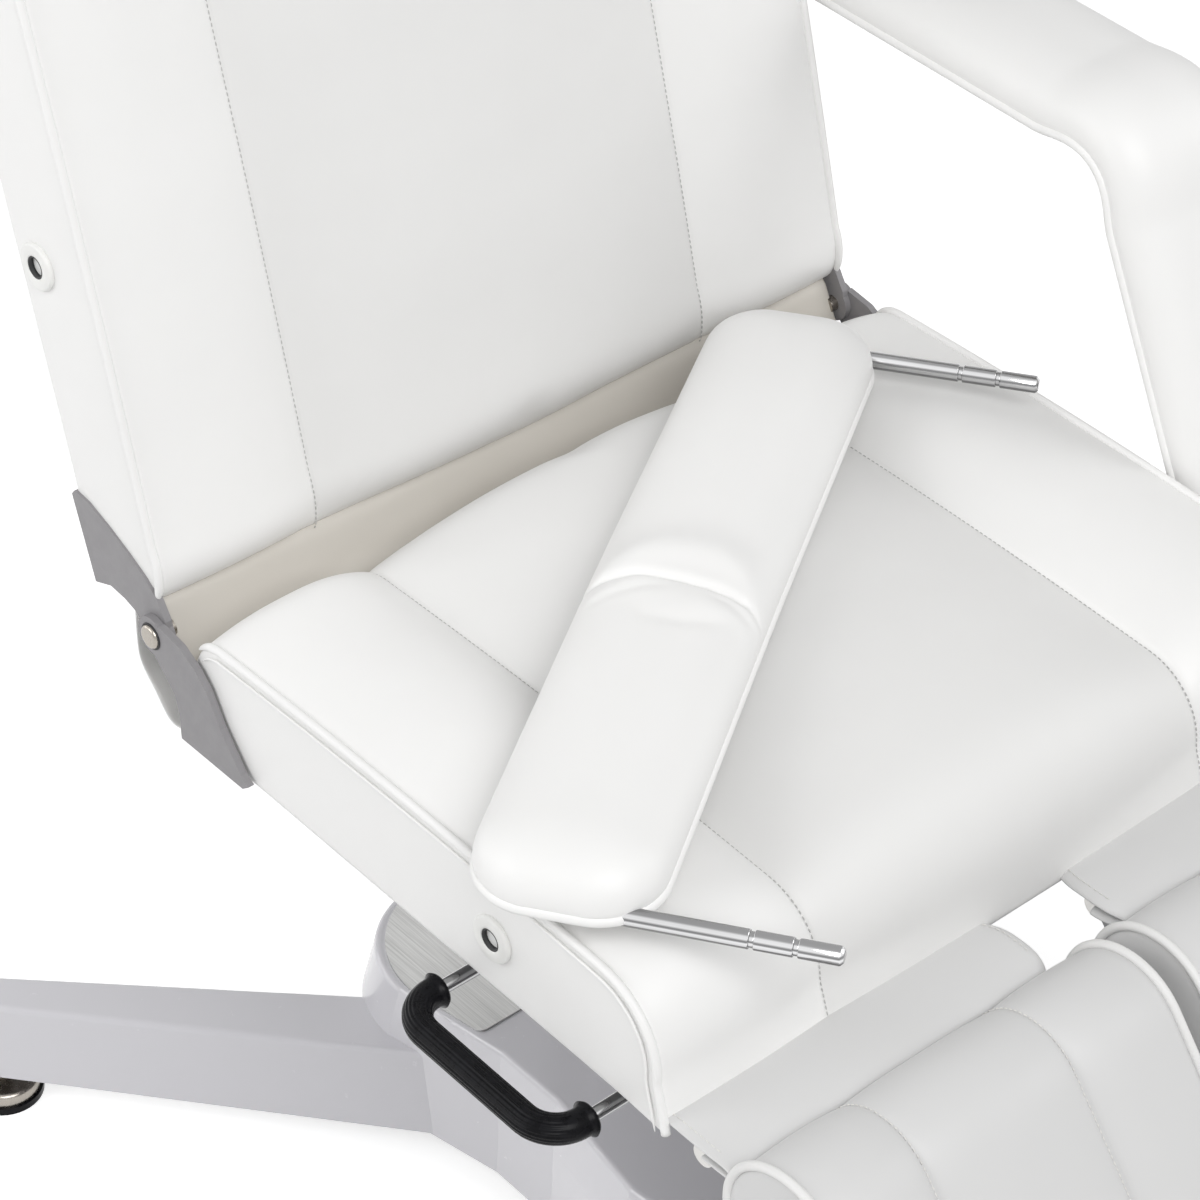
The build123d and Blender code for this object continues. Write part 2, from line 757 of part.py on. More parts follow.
# Leg rests, drawn level: the pivot axis is the origin, -Y points to the feet
def leg_outline(lift):
    low = leg_end_z - leg_end_r
    top = leg_end_z + leg_end_r + lift
    near = -leg_end_y
    roll = math.sqrt(0.5)
    reach = leg_end_r + lift / 3
    return [
        (near, low),
        ((near + reach * roll, leg_end_z - leg_end_r * roll), (near + reach, leg_end_z)),
        ((near + reach * roll, leg_end_z + (leg_end_r + lift) * roll), (near, top)),
        (((near - leg_length) / 2, top + seat_camber / 2), (-leg_length + leg_toe_round, top)),
        ((-leg_length + leg_toe_round * (1 - roll), top - leg_toe_round * (1 - roll)),
         (-leg_length, top - leg_toe_round)),
        (-leg_length, low),
    ]


def make_leg(name, side):
    seams = (leg_seam_inner, leg_seam_outer)
    stations = [
        (leg_inner, leg_edge_lift), ((leg_inner + seams[0]) / 2, leg_crown), (seams[0], 0),
        ((seams[0] + seams[1]) / 2, leg_crown), (seams[1], 0),
        ((seams[1] + leg_outer) / 2, leg_crown), (leg_outer, leg_edge_lift),
    ]
    cushion = panel_cushion(stations, leg_outline)
    low = leg_end_z - leg_end_r
    half = leg_arm_tube / 2
    board = box_between(
        (leg_inner + board_margin, -leg_length + board_margin, low),
        (leg_outer - board_margin, -leg_end_y, low + board_thick))
    cushion -= board
    arms = []
    for x in (leg_arm_inner, leg_arm_outer):
        arm = square_tube(
            (x - half, -leg_arm_reach, low - leg_arm_tube), (x + half, -leg_end_y, low), 1, tube_wall)
        neck = side_plate([
            (-leg_end_y, low), (-leg_end_y, low - leg_arm_tube), (0, -leg_knuckle_r), (0, leg_knuckle_r),
        ], x - half, x + half)
        neck += rod_x(0, 0, leg_knuckle_r, x - half, x + half)
        neck -= rod_x(0, 0, leg_shaft_r + run_gap, x - half - cut_over, x + half + cut_over)
        arms += [arm, neck]
    inner = leg_arm_inner + half
    for y in (-leg_arm_reach + half, -leg_end_y - half):
        arms.append(square_tube(
            (inner, y - half, low - leg_arm_tube), (leg_arm_outer - half, y + half, low), 0, tube_wall))

    # The lever of the gas spring is welded below the rear cross tube. Its slot points at the pivot.
    drop = leg_pivot_z - spring_z
    reach = drop / math.cos(math.radians(leg_half_sweep))
    slot_half = spring_pin_r + leg_slot_side
    x_low = leg_spring_x + spring_eye / 2 + side_gap
    x_high = x_low + lever_thick
    angle = -90 + leg_half_sweep - leg_hang
    tip_angle = math.radians(angle)
    tip = (reach * math.cos(tip_angle), reach * math.sin(tip_angle))
    outer_r = slot_half + lever_rim
    lever = side_plate([
        (-leg_end_y, low), (-leg_end_y - leg_arm_tube, low - leg_arm_tube),
        (tip[0] - outer_r, tip[1] - outer_r / 2), (tip[0] + outer_r, tip[1] + outer_r / 2),
    ], x_low, x_high)
    lever += rod_x(tip[0], tip[1], outer_r, x_low, x_high)
    lever -= lever_slot(drop, reach, angle, slot_half, x_low - cut_over, x_high + cut_over)
    lever -= box_between(
        (inner, -leg_end_y - leg_arm_tube, low - leg_arm_tube), (leg_arm_outer, -leg_end_y, low + cut_over))
    arms.append(lever)

    pieces = {"cushion": [cushion], "board": [board], "frame": arms}
    for piece, shapes in pieces.items():
        placed = [placed_leg(shape) for shape in shapes]
        if side < 0:
            placed = [mirror(shape, about=Plane.YZ) for shape in placed]
        save(f"leg_{piece}_{name}", *placed)


# Front flaps and rear gusset: sheets as thin closed solids, drawn in the side view
def sheet_between(points, x_low, x_high):
    """A sheet of even thickness along a line of points in the side view."""
    path = Polyline(*points)
    band = offset(path, amount=cloth / 2, side=Side.BOTH, closed=True)
    return extrude(Plane.YZ.offset(x_low) * make_face(band), amount=x_high - x_low)


def make_cloth():
    flap = sheet_between([
        (seat_front_y - side_gap, flap_top_z),
        ((seat_front_y + flap_fold_y) / 2, flap_top_z + cloth),
        (flap_fold_y + flap_fold_r, flap_top_z),
        (flap_fold_y, flap_top_z - flap_fold_r),
    ], flap_inner, leg_outer)
    save("leg_flap_left", flap)
    save("leg_flap_right", mirror(flap, about=Plane.YZ))
    lean = math.radians(back_lean)
    foot_y = hinge_y + back_rear / 2 * math.cos(lean) + back_foot * math.sin(lean)
    foot_z = hinge_z - back_rear / 2 * math.sin(lean) + back_foot * math.cos(lean)
    bulge = gusset_back_y - foot_y
    gusset = sheet_between([
        (foot_y, foot_z - cloth),
        (foot_y + bulge / 2, foot_z - back_foot),
        (gusset_back_y, hinge_z - back_foot_round),
        (gusset_back_y - cloth * 2, gusset_low_z + back_foot + knuckle_r),
        (gusset_back_y - back_foot, gusset_low_z + knuckle_r),
        (hinge_y, gusset_low_z),
        (seat_rear_y + cloth * 2, gusset_low_z + back_foot),
        (seat_rear_y + cloth, seat_top_z - seat_rear_round),
    ], -gusset_half, gusset_half)
    save("rear_gusset", gusset)


# Gas springs: the barrel is fixed to the seat frame, the rod carries a cross pin in the lever's slot
def make_spring(x, barrel, hanger_y, rod_from, eye_y):
    """Barrel is its low and high Y, rod_from is the rod's inner end, eye_y the place of its cross pin."""
    body = rod_y(x, spring_z, spring_r, *barrel)
    bore = sorted((rod_from, barrel[0] if eye_y < barrel[0] else barrel[1]))
    travel = abs(barrel[1] - barrel[0]) * 0.8
    inner = bore[0] - (travel if eye_y > barrel[1] else cut_over)
    outer = bore[1] + (travel if eye_y < barrel[0] else cut_over)
    body -= rod_y(x, spring_z, spring_rod_r + run_gap,
                  max(inner, barrel[0] + spring_r) if eye_y > barrel[1] else inner,
                  min(outer, barrel[1] - spring_r) if eye_y < barrel[0] else outer)
    hanger = box_between(
        (x - spring_r, hanger_y - spring_r, spring_z),
        (x + spring_r, hanger_y + spring_r, seat_low_z - tube_size))
    rod = rod_y(x, spring_z, spring_rod_r, *sorted((rod_from, eye_y)))
    rod += box_between(
        (x - spring_eye / 2, eye_y - spring_eye / 2, spring_z - spring_eye / 2),
        (x + spring_eye / 2, eye_y + spring_eye / 2, spring_z + spring_eye / 2))
    rod += rod_x(eye_y, spring_z, spring_pin_r, x, x + spring_eye / 2 + side_gap + lever_thick + side_gap)
    barrel_shape = body + (hanger - rod_y(x, spring_z, spring_r - cut_over / 2, *barrel))
    return barrel_shape, rod


def make_springs():
    half_travel = (hinge_z - spring_z) * math.tan(math.radians(back_half_sweep))
    barrel, rod = make_spring(
        back_spring_x, (back_spring_front_y, back_spring_rear_y), -frame_cross_y,
        back_spring_rear_y - back_rod_overlap, hinge_y + half_travel)
    barrels = [barrel]
    save("back_spring_rod", rod)
    half_travel = (leg_pivot_z - spring_z) * math.tan(math.radians(leg_half_sweep))
    barrel, rod = make_spring(
        leg_spring_x, (leg_spring_front_y, leg_spring_rear_y), leg_spring_front_y + spring_r,
        leg_spring_front_y + leg_rod_overlap, leg_pivot_y + half_travel)
    save("gas_spring_barrels", *barrels, *both_sides(barrel))
    save("leg_spring_rod_left", rod)
    save("leg_spring_rod_right", mirror(rod, about=Plane.YZ))


# Release bars under the seat sides
def make_release(name, side):
    corners = [
        (-bar_inner, bar_rear_y, bar_z), (-bar_reach, bar_rear_y, bar_z),
        (-bar_reach, bar_front_y, bar_z), (-bar_inner, bar_front_y, bar_z),
    ]
    path = FilletPolyline(*corners, radius=bar_bend)
    start = Plane(origin=corners[0], z_dir=(-1, 0, 0))
    bar = sweep(start * Circle(bar_r), path=path)
    grip_corners = [(-grip_start, bar_rear_y, bar_z)] + corners[1:3] + [(-grip_start, bar_front_y, bar_z)]
    grip_path = FilletPolyline(*grip_corners, radius=bar_bend)
    grip_start_plane = Plane(origin=grip_corners[0], z_dir=(-1, 0, 0))
    grip = sweep(grip_start_plane * Circle(grip_r), path=grip_path)
    for y in (bar_rear_y, bar_front_y):
        grip += rod_x(y, bar_z, grip_collar_r, -grip_start - grip_collar, -grip_start)
    grip -= bar
    shapes = {"release_bar": bar, "release_grip": grip}
    for piece, shape in shapes.items():
        save(f"{piece}_{name}", shape if side < 0 else mirror(shape, about=Plane.YZ))


def release_bushes():
    """Guides of the release bars, welded to the outer faces of the seat frame."""
    bushes = []
    half = tube_size / 2
    for y in (bar_rear_y, bar_front_y):
        bush = box_between(
            (-frame_half - half - bush_length, y - bar_r - bush_wall, bar_z - bar_r - bush_wall),
            (-frame_half - half, y + bar_r + bush_wall, seat_low_z))
        bush -= bore_x(y, bar_z, bar_r + run_gap, -frame_half - half - bush_length, -frame_half - half)
        bushes += both_sides(bush)
    return bushes


# Armrests, drawn straight: the elbow axis is the origin, +Y to the rear, the pads lie above, pins point to +X
def arm_sloped(shape, length):
    """Slope a section about its pin, so that its elbow end rises."""
    return Pos(0, length, 0) * Rot(-arm_rise, 0, 0) * Pos(0, -length, 0) * shape


def arm_pad(length, toward):
    """One padded section from the elbow plane to its rounded end, rearward (1) or forward (-1)."""
    middle = -arm_width / 2
    end = length + arm_end
    band = pad_low + arm_band
    top = pad_low + arm_thick
    roll = math.sqrt(0.5)
    inset = arm_corner * (1 - roll)
    corner_y = end - arm_corner
    far = -arm_width
    plan = make_face([
        Line((0, side_gap), (0, corner_y)),
        ThreePointArc((0, corner_y), (-inset, end - inset), (-arm_corner, end)),
        Line((-arm_corner, end), (far + arm_corner, end)),
        ThreePointArc((far + arm_corner, end), (far + inset, end - inset), (far, corner_y)),
        Line((far, corner_y), (far, side_gap)),
        Line((far, side_gap), (0, side_gap)),
    ])
    shoulder_z = top - arm_crown
    bend_x = arm_shoulder * (1 - roll)
    bend_z = band + (shoulder_z - band) * roll
    section = make_face([
        Line((far, pad_low), (0, pad_low)),
        Line((0, pad_low), (0, band)),
        ThreePointArc((0, band), (-bend_x, bend_z), (-arm_shoulder, shoulder_z)),
        ThreePointArc((-arm_shoulder, shoulder_z), (middle, top), (far + arm_shoulder, shoulder_z)),
        ThreePointArc((far + arm_shoulder, shoulder_z), (far + bend_x, bend_z), (far, band)),
        Line((far, band), (far, pad_low)),
    ])
    profile = make_face([
        Line((0, pad_low), (end, pad_low)),
        Line((end, pad_low), (end, band)),
        ThreePointArc((end, band), (end - arm_tip_round * (1 - roll), band + (top - band) * roll),
                      (end - arm_tip_round, top)),
        Line((end - arm_tip_round, top), (0, top)),
        Line((0, top), (0, pad_low)),
    ])
    pad = extrude(Pos(0, 0, pad_low - cut_over) * plan, amount=arm_thick + 2 * cut_over)
    pad = pad & extrude(Plane.XZ * section, amount=-end - cut_over)
    pad = pad & extrude(Plane.YZ.offset(-arm_width - cut_over) * profile, amount=arm_width + 2 * cut_over)
    pad = arm_sloped(pad, length)
    pad -= rod_x(0, 0, elbow_clear_r, -arm_width - cut_over, cut_over)
    boss_half = arm_strip_width / 2 + pocket_gap
    pad -= rod_x(length, 0, arm_boss_r + pocket_gap, middle - boss_half, middle + boss_half)
    pad -= rod_x(length, 0, arm_pin_r + pocket_gap, middle, cut_over)
    return pad if toward > 0 else mirror(pad, about=Plane.XZ)


def arm_strip(length, toward):
    """The steel strip under one section, with its elbow knuckles and the boss that holds its pin."""
    middle = -arm_width / 2
    half = arm_strip_width / 2
    low = pad_low - arm_strip_thick
    end = length - arm_pin_r - run_gap * 2
    strip = box_between((middle - half, elbow_clear_r, low), (middle + half, end, pad_low))
    strip = arm_sloped(strip, length)
    lift = (length - elbow_clear_r) * math.sin(math.radians(arm_rise)) - side_gap
    third = arm_strip_width / 3
    spans = [(-half, -half + third), (half - third, half)] if toward > 0 else [(-half + third, half - third)]
    gap = side_gap if toward < 0 else 0
    clearance = run_gap if toward < 0 else 0
    far = elbow_clear_r + arm_strip_thick
    for x_low, x_high in spans:
        ends = (middle + x_low + gap, middle + x_high - gap)
        lug = rod_x(0, 0, elbow_knuckle_r, *ends)
        lug += side_plate([
            (0, -elbow_knuckle_r), (0, elbow_knuckle_r), (elbow_clear_r - side_gap * 3, pad_low + lift),
            (far, pad_low + lift), (far, low + lift),
        ], *ends)
        lug -= rod_x(0, 0, elbow_pin_r + clearance, middle - half - cut_over, middle + half + cut_over)
        strip += lug
    return strip if toward > 0 else mirror(strip, about=Plane.XZ)


def elbow_pin():
    """The pin of the elbow hinge, as long as the strips are wide."""
    middle = -arm_width / 2
    return rod_x(0, 0, elbow_pin_r, middle - arm_strip_width / 2, middle + arm_strip_width / 2)


def arm_boss(y, bore):
    """The tube that holds a pin, let into the pad and welded to the end of the strip."""
    middle = -arm_width / 2
    ends = (middle - arm_strip_width / 2, middle + arm_strip_width / 2)
    return rod_x(y, 0, arm_boss_r, *ends) - rod_x(y, 0, bore, -arm_width, 0)


def arm_pin(y):
    """A chrome pin with two grooves and a chamfered tip, held in its boss."""
    start = -arm_width / 2 - arm_strip_width / 2
    pin = rod_x(y, 0, arm_pin_r, start, arm_pin_length)
    pin = chamfer(pin.edges().group_by(Axis.X)[-1], arm_pin_chamfer)
    for distance in (arm_groove_near, arm_groove_far):
        x = arm_pin_length - distance
        ring = rod_x(y, 0, arm_pin_r + cut_over, x - arm_groove_width / 2, x + arm_groove_width / 2)
        ring -= rod_x(y, 0, arm_pin_r - arm_groove_depth, x - arm_groove_width, x + arm_groove_width)
        pin -= ring
    return pin


def elbow_place():
    """The elbow in the side view, where both distances hold, and the slope of each section there."""
    span_y = arm_rear_y - arm_front_y
    span_z = arm_rear_z - arm_front_z
    span = math.hypot(span_y, span_z)
    along = (arm_front_length ** 2 - arm_rear_length ** 2 + span ** 2) / (2 * span)
    aside = math.sqrt(arm_front_length ** 2 - along ** 2)
    front_y = (along * span_y - aside * span_z) / span
    front_z = (along * span_z + aside * span_y) / span
    elbow = (hinge_y + arm_front_y + front_y, hinge_z + arm_front_z + front_z)
    front_turn = math.degrees(math.atan2(front_z, front_y))
    rear_turn = math.degrees(math.atan2(span_z - front_z, span_y - front_y))
    return elbow, front_turn, rear_turn


def make_fitted_armrest():
    """The armrest on the +X side, bent at its elbow to follow the back."""
    elbow, front_turn, rear_turn = elbow_place()

    def place(shape, turn):
        shape = mirror(Pos(-arm_inner, 0, 0) * shape, about=Plane.YZ)
        return Location((0, *elbow)) * Rot(turn, 0, 0) * shape

    front_pin_y = -arm_front_length
    rear_pin_y = arm_rear_length
    save("arm_pad_front_left", place(arm_pad(arm_front_length, -1), front_turn))
    save("arm_pad_rear_left", place(arm_pad(arm_rear_length, 1), rear_turn))
    front_strip = arm_strip(arm_front_length, -1) + arm_boss(front_pin_y, arm_pin_r + run_gap)
    save("arm_strip_front_left", place(front_strip, front_turn))
    save("arm_pin_front_left", place(arm_pin(front_pin_y), front_turn))
    save("arm_pin_rear_left", place(arm_pin(rear_pin_y), rear_turn))
    rear_strip = arm_strip(arm_rear_length, 1) + arm_boss(rear_pin_y, arm_pin_r)
    save("arm_strip_rear_left", place(rear_strip, rear_turn), place(elbow_pin(), rear_turn))

    # Foam that fills the open wedge of the bent elbow
    inner_r = elbow_clear_r + side_gap
    outer_r = pad_low + arm_thick - arm_crown
    def on_ring(radius, turn):
        turn = math.radians(turn)
        return elbow[0] - radius * math.sin(turn), elbow[1] + radius * math.cos(turn)
    turns = (rear_turn - arm_rise, (rear_turn + front_turn) / 2, front_turn + arm_rise)
    inner = [on_ring(inner_r, turn) for turn in turns]
    outer = [on_ring(outer_r, turn) for turn in turns]
    wedge = make_face([
        Line(inner[0], outer[0]), ThreePointArc(*outer),
        Line(outer[2], inner[2]), ThreePointArc(*reversed(inner)),
    ])
    x_low = arm_inner + arm_crown
    save("arm_elbow_foam_left", extrude(
        Plane.YZ.offset(x_low) * wedge, amount=arm_width - 2 * arm_crown))


def make_loose_armrest():
    """The armrest of the -X side, straight, lying on the seat with its pins towards the front."""
    long_axis = Vector(math.sin(math.radians(loose_turn)), math.cos(math.radians(loose_turn)), 0)
    level = Vector(math.cos(math.radians(loose_turn)), -math.sin(math.radians(loose_turn)), 0)
    tilt = math.radians(loose_tilt)
    pin_axis = level * math.cos(tilt) + Vector(0, 0, 1) * math.sin(tilt)
    middle = Vector(loose_x, loose_y, loose_z)
    elbow = middle - long_axis * ((arm_rear_length - arm_front_length) / 2)
    place = Plane(origin=elbow, x_dir=pin_axis, z_dir=pin_axis.cross(long_axis)).location
    front_pin_y = -arm_front_length
    rear_pin_y = arm_rear_length
    pads = [arm_pad(arm_front_length, -1), arm_pad(arm_rear_length, 1)]
    strips = [arm_strip(arm_front_length, -1) + arm_boss(front_pin_y, arm_pin_r),
              arm_strip(arm_rear_length, 1) + arm_boss(rear_pin_y, arm_pin_r)]
    pins = [arm_pin(front_pin_y), arm_pin(rear_pin_y)]
    save("arm_pads_right", *[place * pad for pad in pads])
    save("arm_strips_right", *[place * piece for piece in strips + [elbow_pin()]])
    save("arm_pins_right", *[place * pin for pin in pins])


# Column
def make_column():
    shell = rod_z(0, 0, cylinder_r, cylinder_low_z, cylinder_top_z)
    inside_r = cylinder_r - cylinder_wall
    shell -= rod_z(0, 0, inside_r, cylinder_low_z + cylinder_wall, cylinder_top_z + cut_over)
    save("column_cylinder", shell)
    gland_top = cylinder_top_z + gland_height
    gland = rod_z(0, 0, gland_r, cylinder_top_z, gland_top)
    gland -= rod_z(0, 0, piston_r + run_gap, cylinder_top_z - cut_over, gland_top + cut_over)
    gland = chamfer(gland.edges().group_by(Axis.Z)[-1].sort_by(SortBy.RADIUS)[-1], arm_pin_chamfer)
    save("column_gland", gland)
    flange_top = piston_top_z + flange_thick
    rod = rod_z(0, 0, piston_r, piston_low_z + piston_head_height, piston_top_z)
    flange = rod_z(0, 0, flange_r, piston_top_z, flange_top)
    spigot_hole = rod_z(
        0, 0, spigot_r + run_gap, flange_top - spigot_length - cut_over, flange_top + cut_over)
    save("piston_rod", rod + flange - spigot_hole)
    head_top = piston_low_z + piston_head_height
    save("piston_head", rod_z(0, 0, inside_r - run_gap, piston_low_z, head_top))
    carrier_low = seat_low_z - tube_size - carrier_thick
    bearing = rod_z(0, 0, flange_r, flange_top + side_gap, carrier_low)
    spigot = rod_z(0, 0, spigot_r, flange_top + side_gap - spigot_length, flange_top + side_gap)
    save("swivel_bearing", bearing + spigot)
    save("seat_carrier", box_between(
        (-carrier_half_x, -carrier_half_y, carrier_low),
        (carrier_half_x, carrier_half_y, carrier_low + carrier_thick)))
    collar = rod_z(0, 0, collar_r, house_top_z, house_top_z + collar_height)
    collar = fillet(collar.edges().group_by(Axis.Z)[-1], collar_height / 2)
    collar -= rod_z(0, 0, cylinder_r, house_top_z - cut_over, house_top_z + 2 * collar_height)
    save("column_collar", collar)


# Base
def foot_places():
    return [(x, y) for x in (-foot_x, foot_x) for y in (-foot_y, foot_y)]


def arm_section(low_width, top_width, low, high, radius):
    """A section with sloping sides and two rounded upper corners: X across, Y up."""
    low_half = low_width / 2
    high_half = top_width / 2
    return make_face([
        Line((-low_half, low), (low_half, low)),
        Line((low_half, low), (high_half, high - radius)),
        ThreePointArc((high_half, high - radius),
                      (high_half - radius * (1 - math.sqrt(0.5)), high - radius * (1 - math.sqrt(0.5))),
                      (high_half - radius, high)),
        Line((high_half - radius, high), (-high_half + radius, high)),
        ThreePointArc((-high_half + radius, high),
                      (-high_half + radius * (1 - math.sqrt(0.5)), high - radius * (1 - math.sqrt(0.5))),
                      (-high_half, high - radius)),
        Line((-high_half, high - radius), (-low_half, low)),
    ])


def base_arm(x, y, inset, drop):
    """One arm of the base from the middle to beyond its foot."""
    reach = math.hypot(x, y)
    along = (x / reach, y / reach, 0)
    across = (-along[1], along[0], 0)
    sections = []
    for distance, low_width, top_width, low, high in (
        (0, leg_root_width, leg_root_top_width, leg_root_low, leg_root_top),
        (reach + leg_tip_over - inset, leg_tip_width, leg_tip_top_width, leg_tip_low, leg_tip_top),
    ):
        plane = Plane(origin=(along[0] * distance, along[1] * distance, 0), x_dir=across, z_dir=along)
        radius = leg_edge_round - inset / 2
        sections.append(plane * arm_section(
            low_width - 2 * inset, top_width - 2 * inset, low - drop, high - inset, radius))
    return loft(sections, ruled=True)


def house_plan(inset, flare):
    """Plan of the housing: a waist in the middle and rounded front and rear ends."""
    waist = house_waist_half - inset
    wide = house_end_half - inset + flare
    radius = house_round
    end = house_end_y + house_round - inset + flare
    straight = end - radius
    edges = []
    corner = radius * math.sqrt(0.5)
    for side in (1, -1):
        edges += [
            Line((side * waist, -side * house_waist_y), (side * waist, side * house_waist_y)),
            Line((side * waist, side * house_waist_y), (side * wide, side * straight)),
            ThreePointArc(
                (side * wide, side * straight),
                (side * (wide - radius + corner), side * (straight + corner)),
                (side * (wide - radius), side * end)),
            Line((side * (wide - radius), side * end), (-side * (wide - radius), side * end)),
            ThreePointArc(
                (-side * (wide - radius), side * end),
                (-side * (wide - radius + corner), side * (straight + corner)),
                (-side * wide, side * straight)),
            Line((-side * wide, side * straight), (-side * waist, side * house_waist_y)),
        ]
    return make_face(edges)


def house_block(inset, drop):
    lower = extrude(
        Pos(0, 0, house_low_z - drop) * house_plan(inset, house_flare),
        amount=house_waist_z - house_low_z + drop)
    upper = loft([
        Pos(0, 0, house_waist_z) * house_plan(inset, house_flare),
        Pos(0, 0, house_top_z - inset) * house_plan(inset, 0),
    ], ruled=True)
    return lower + upper


def make_base():
    house = house_block(0, 0)
    house = fillet(house.edges().group_by(Axis.Z)[-1], house_edge_round)
    shell = house
    hollow = house_block(shell_wall, cut_over)
    for x, y in foot_places():
        shell += base_arm(x, y, 0, 0)
        hollow += base_arm(x, y, shell_wall, cut_over)
    shell -= hollow
    shell -= rod_z(0, 0, cylinder_r, house_waist_z, house_top_z + cut_over)
    slot_low = house_low_z + shell_wall * 2
    slot_high = pedal_pivot_z + pedal_rise + pedal_arm * 2
    shell -= box_between(
        (-pedal_arm, house_end_y, slot_low), (pedal_arm, house_end_y + 2 * house_round, slot_high))
    save("base_shell", shell)

    plan = house_plan(cover_margin, 0) & (
        Pos(0, plate_front_y + house_round * 2) * Rectangle(4 * house_round, 4 * house_round))
    cover = extrude(Pos(0, 0, house_top_z) * plan, amount=cover_thick)
    front_edges = cover.edges().filter_by(Axis.Z).group_by(Axis.Y)[0]
    cover = fillet(front_edges, cover_corner)
    save("base_cover_plate", cover)

    half = cross_width / 2
    top_z = cross_top_z
    beams = []
    for turn, length in ((1, 1), (-1, 1)):
        reach = math.hypot(foot_x, foot_y)
        angle = math.degrees(math.atan2(foot_y, turn * foot_x))
        beams.append(Rot(0, 0, angle) * box_between(
            (-reach - cross_width, -half, cross_low_z), (reach + cross_width, half, top_z)))
    frame = beams[0] + beams[1]
    frame += rod_z(0, 0, cylinder_r + half, cross_low_z, top_z)
    for x, y in foot_places():
        frame -= rod_z(x, y, foot_stud_r, 0, top_z + cut_over)
    frame -= rod_z(0, 0, cylinder_r, cylinder_low_z, top_z + cut_over)
    pump_gap = box_between(
        (-pump_width / 2, pump_y - pump_depth / 2, pump_low_z),
        (pump_width / 2, pump_y + pump_depth / 2, pump_top_z))
    save("base_cross_frame", frame - pump_gap)

    discs = []
    pads = []
    for x, y in foot_places():
        disc = rod_z(x, y, foot_disc_r, foot_pad_height, foot_pad_height + foot_disc_height)
        disc = fillet(disc.edges().group_by(Axis.Z)[-1], foot_disc_height / 3)
        stud_low = foot_pad_height + foot_disc_height
        discs.append(disc + rod_z(x, y, foot_stud_r, stud_low, foot_stud_top + foot_disc_height))
        pads.append(rod_z(x, y, foot_pad_r, 0, foot_pad_height))
    save("levelling_feet", *discs)
    save("foot_pads", *pads)


def make_pump():
    half = pump_width / 2
    block = box_between(
        (-half, pump_y - pump_depth / 2, pump_low_z), (half, pump_y + pump_depth / 2, pump_top_z))
    block = fillet(block.edges().filter_by(Axis.Z), cover_corner)
    ears = []
    for side in (-1, 1):
        x_low, x_high = sorted((side * (pedal_arm + side_gap), side * (pedal_arm + side_gap + pedal_ear)))
        ear = box_between(
            (x_low, pump_y + pump_depth / 2, pedal_pivot_z - 2 * pedal_shaft_r),
            (x_high, pedal_pivot_y + 2 * pedal_shaft_r, pedal_pivot_z + 2 * pedal_shaft_r))
        ears.append(ear - bore_x(
            pedal_pivot_y, pedal_pivot_z, pedal_shaft_r, -pedal_shaft_half, pedal_shaft_half))
    save("pump_block", block, *ears)
    save("pedal_shaft", rod_x(
        pedal_pivot_y, pedal_pivot_z, pedal_shaft_r, -pedal_shaft_half, pedal_shaft_half))
    arm_half = pedal_arm / 2
    arm = side_plate([
        (pedal_pivot_y - pedal_arm, pedal_pivot_z - pedal_arm),
        (pedal_pivot_y - pedal_arm, pedal_pivot_z + pedal_arm),
        (pedal_pivot_y + pedal_arm, pedal_pivot_z + pedal_arm),
        (pedal_reach_y, pedal_pivot_z + pedal_rise + arm_half),
        (pedal_reach_y, pedal_pivot_z + pedal_rise - arm_half),
        (pedal_pivot_y + pedal_arm, pedal_pivot_z - pedal_arm),
    ], -arm_half, arm_half)
    arm += rod_x(pedal_pivot_y, pedal_pivot_z, pedal_arm, -pedal_arm, pedal_arm)
    arm -= bore_x(pedal_pivot_y, pedal_pivot_z, pedal_shaft_r + run_gap, -pedal_arm, pedal_arm)
    save("pedal_lever", arm)
    pad_z = pedal_pivot_z + pedal_rise + arm_half
    pad = box_between(
        (-pedal_pad_width / 2, pedal_reach_y - pedal_pad_depth, pad_z),
        (pedal_pad_width / 2, pedal_reach_y, pad_z + pedal_pad_thick))
    pad = fillet(pad.edges().filter_by(Axis.Z), pedal_pad_thick)
    pad = fillet(pad.edges().group_by(Axis.Z)[-1], pedal_pad_thick / 3)
    save("pedal_pad", pad - arm)


os.makedirs("parts", exist_ok=True)
make_seat()
make_seat_frame()
make_hinges()
make_back()
make_back_frame()
make_headrest()
make_leg("left", 1)
make_leg("right", -1)
make_cloth()
make_springs()
make_release("right", -1)
make_release("left", 1)
make_fitted_armrest()
make_loose_armrest()
make_column()
make_base()
make_pump()
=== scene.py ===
import bpy
import bmesh
import json
import math
import numpy as np
from mathutils import Matrix, Vector


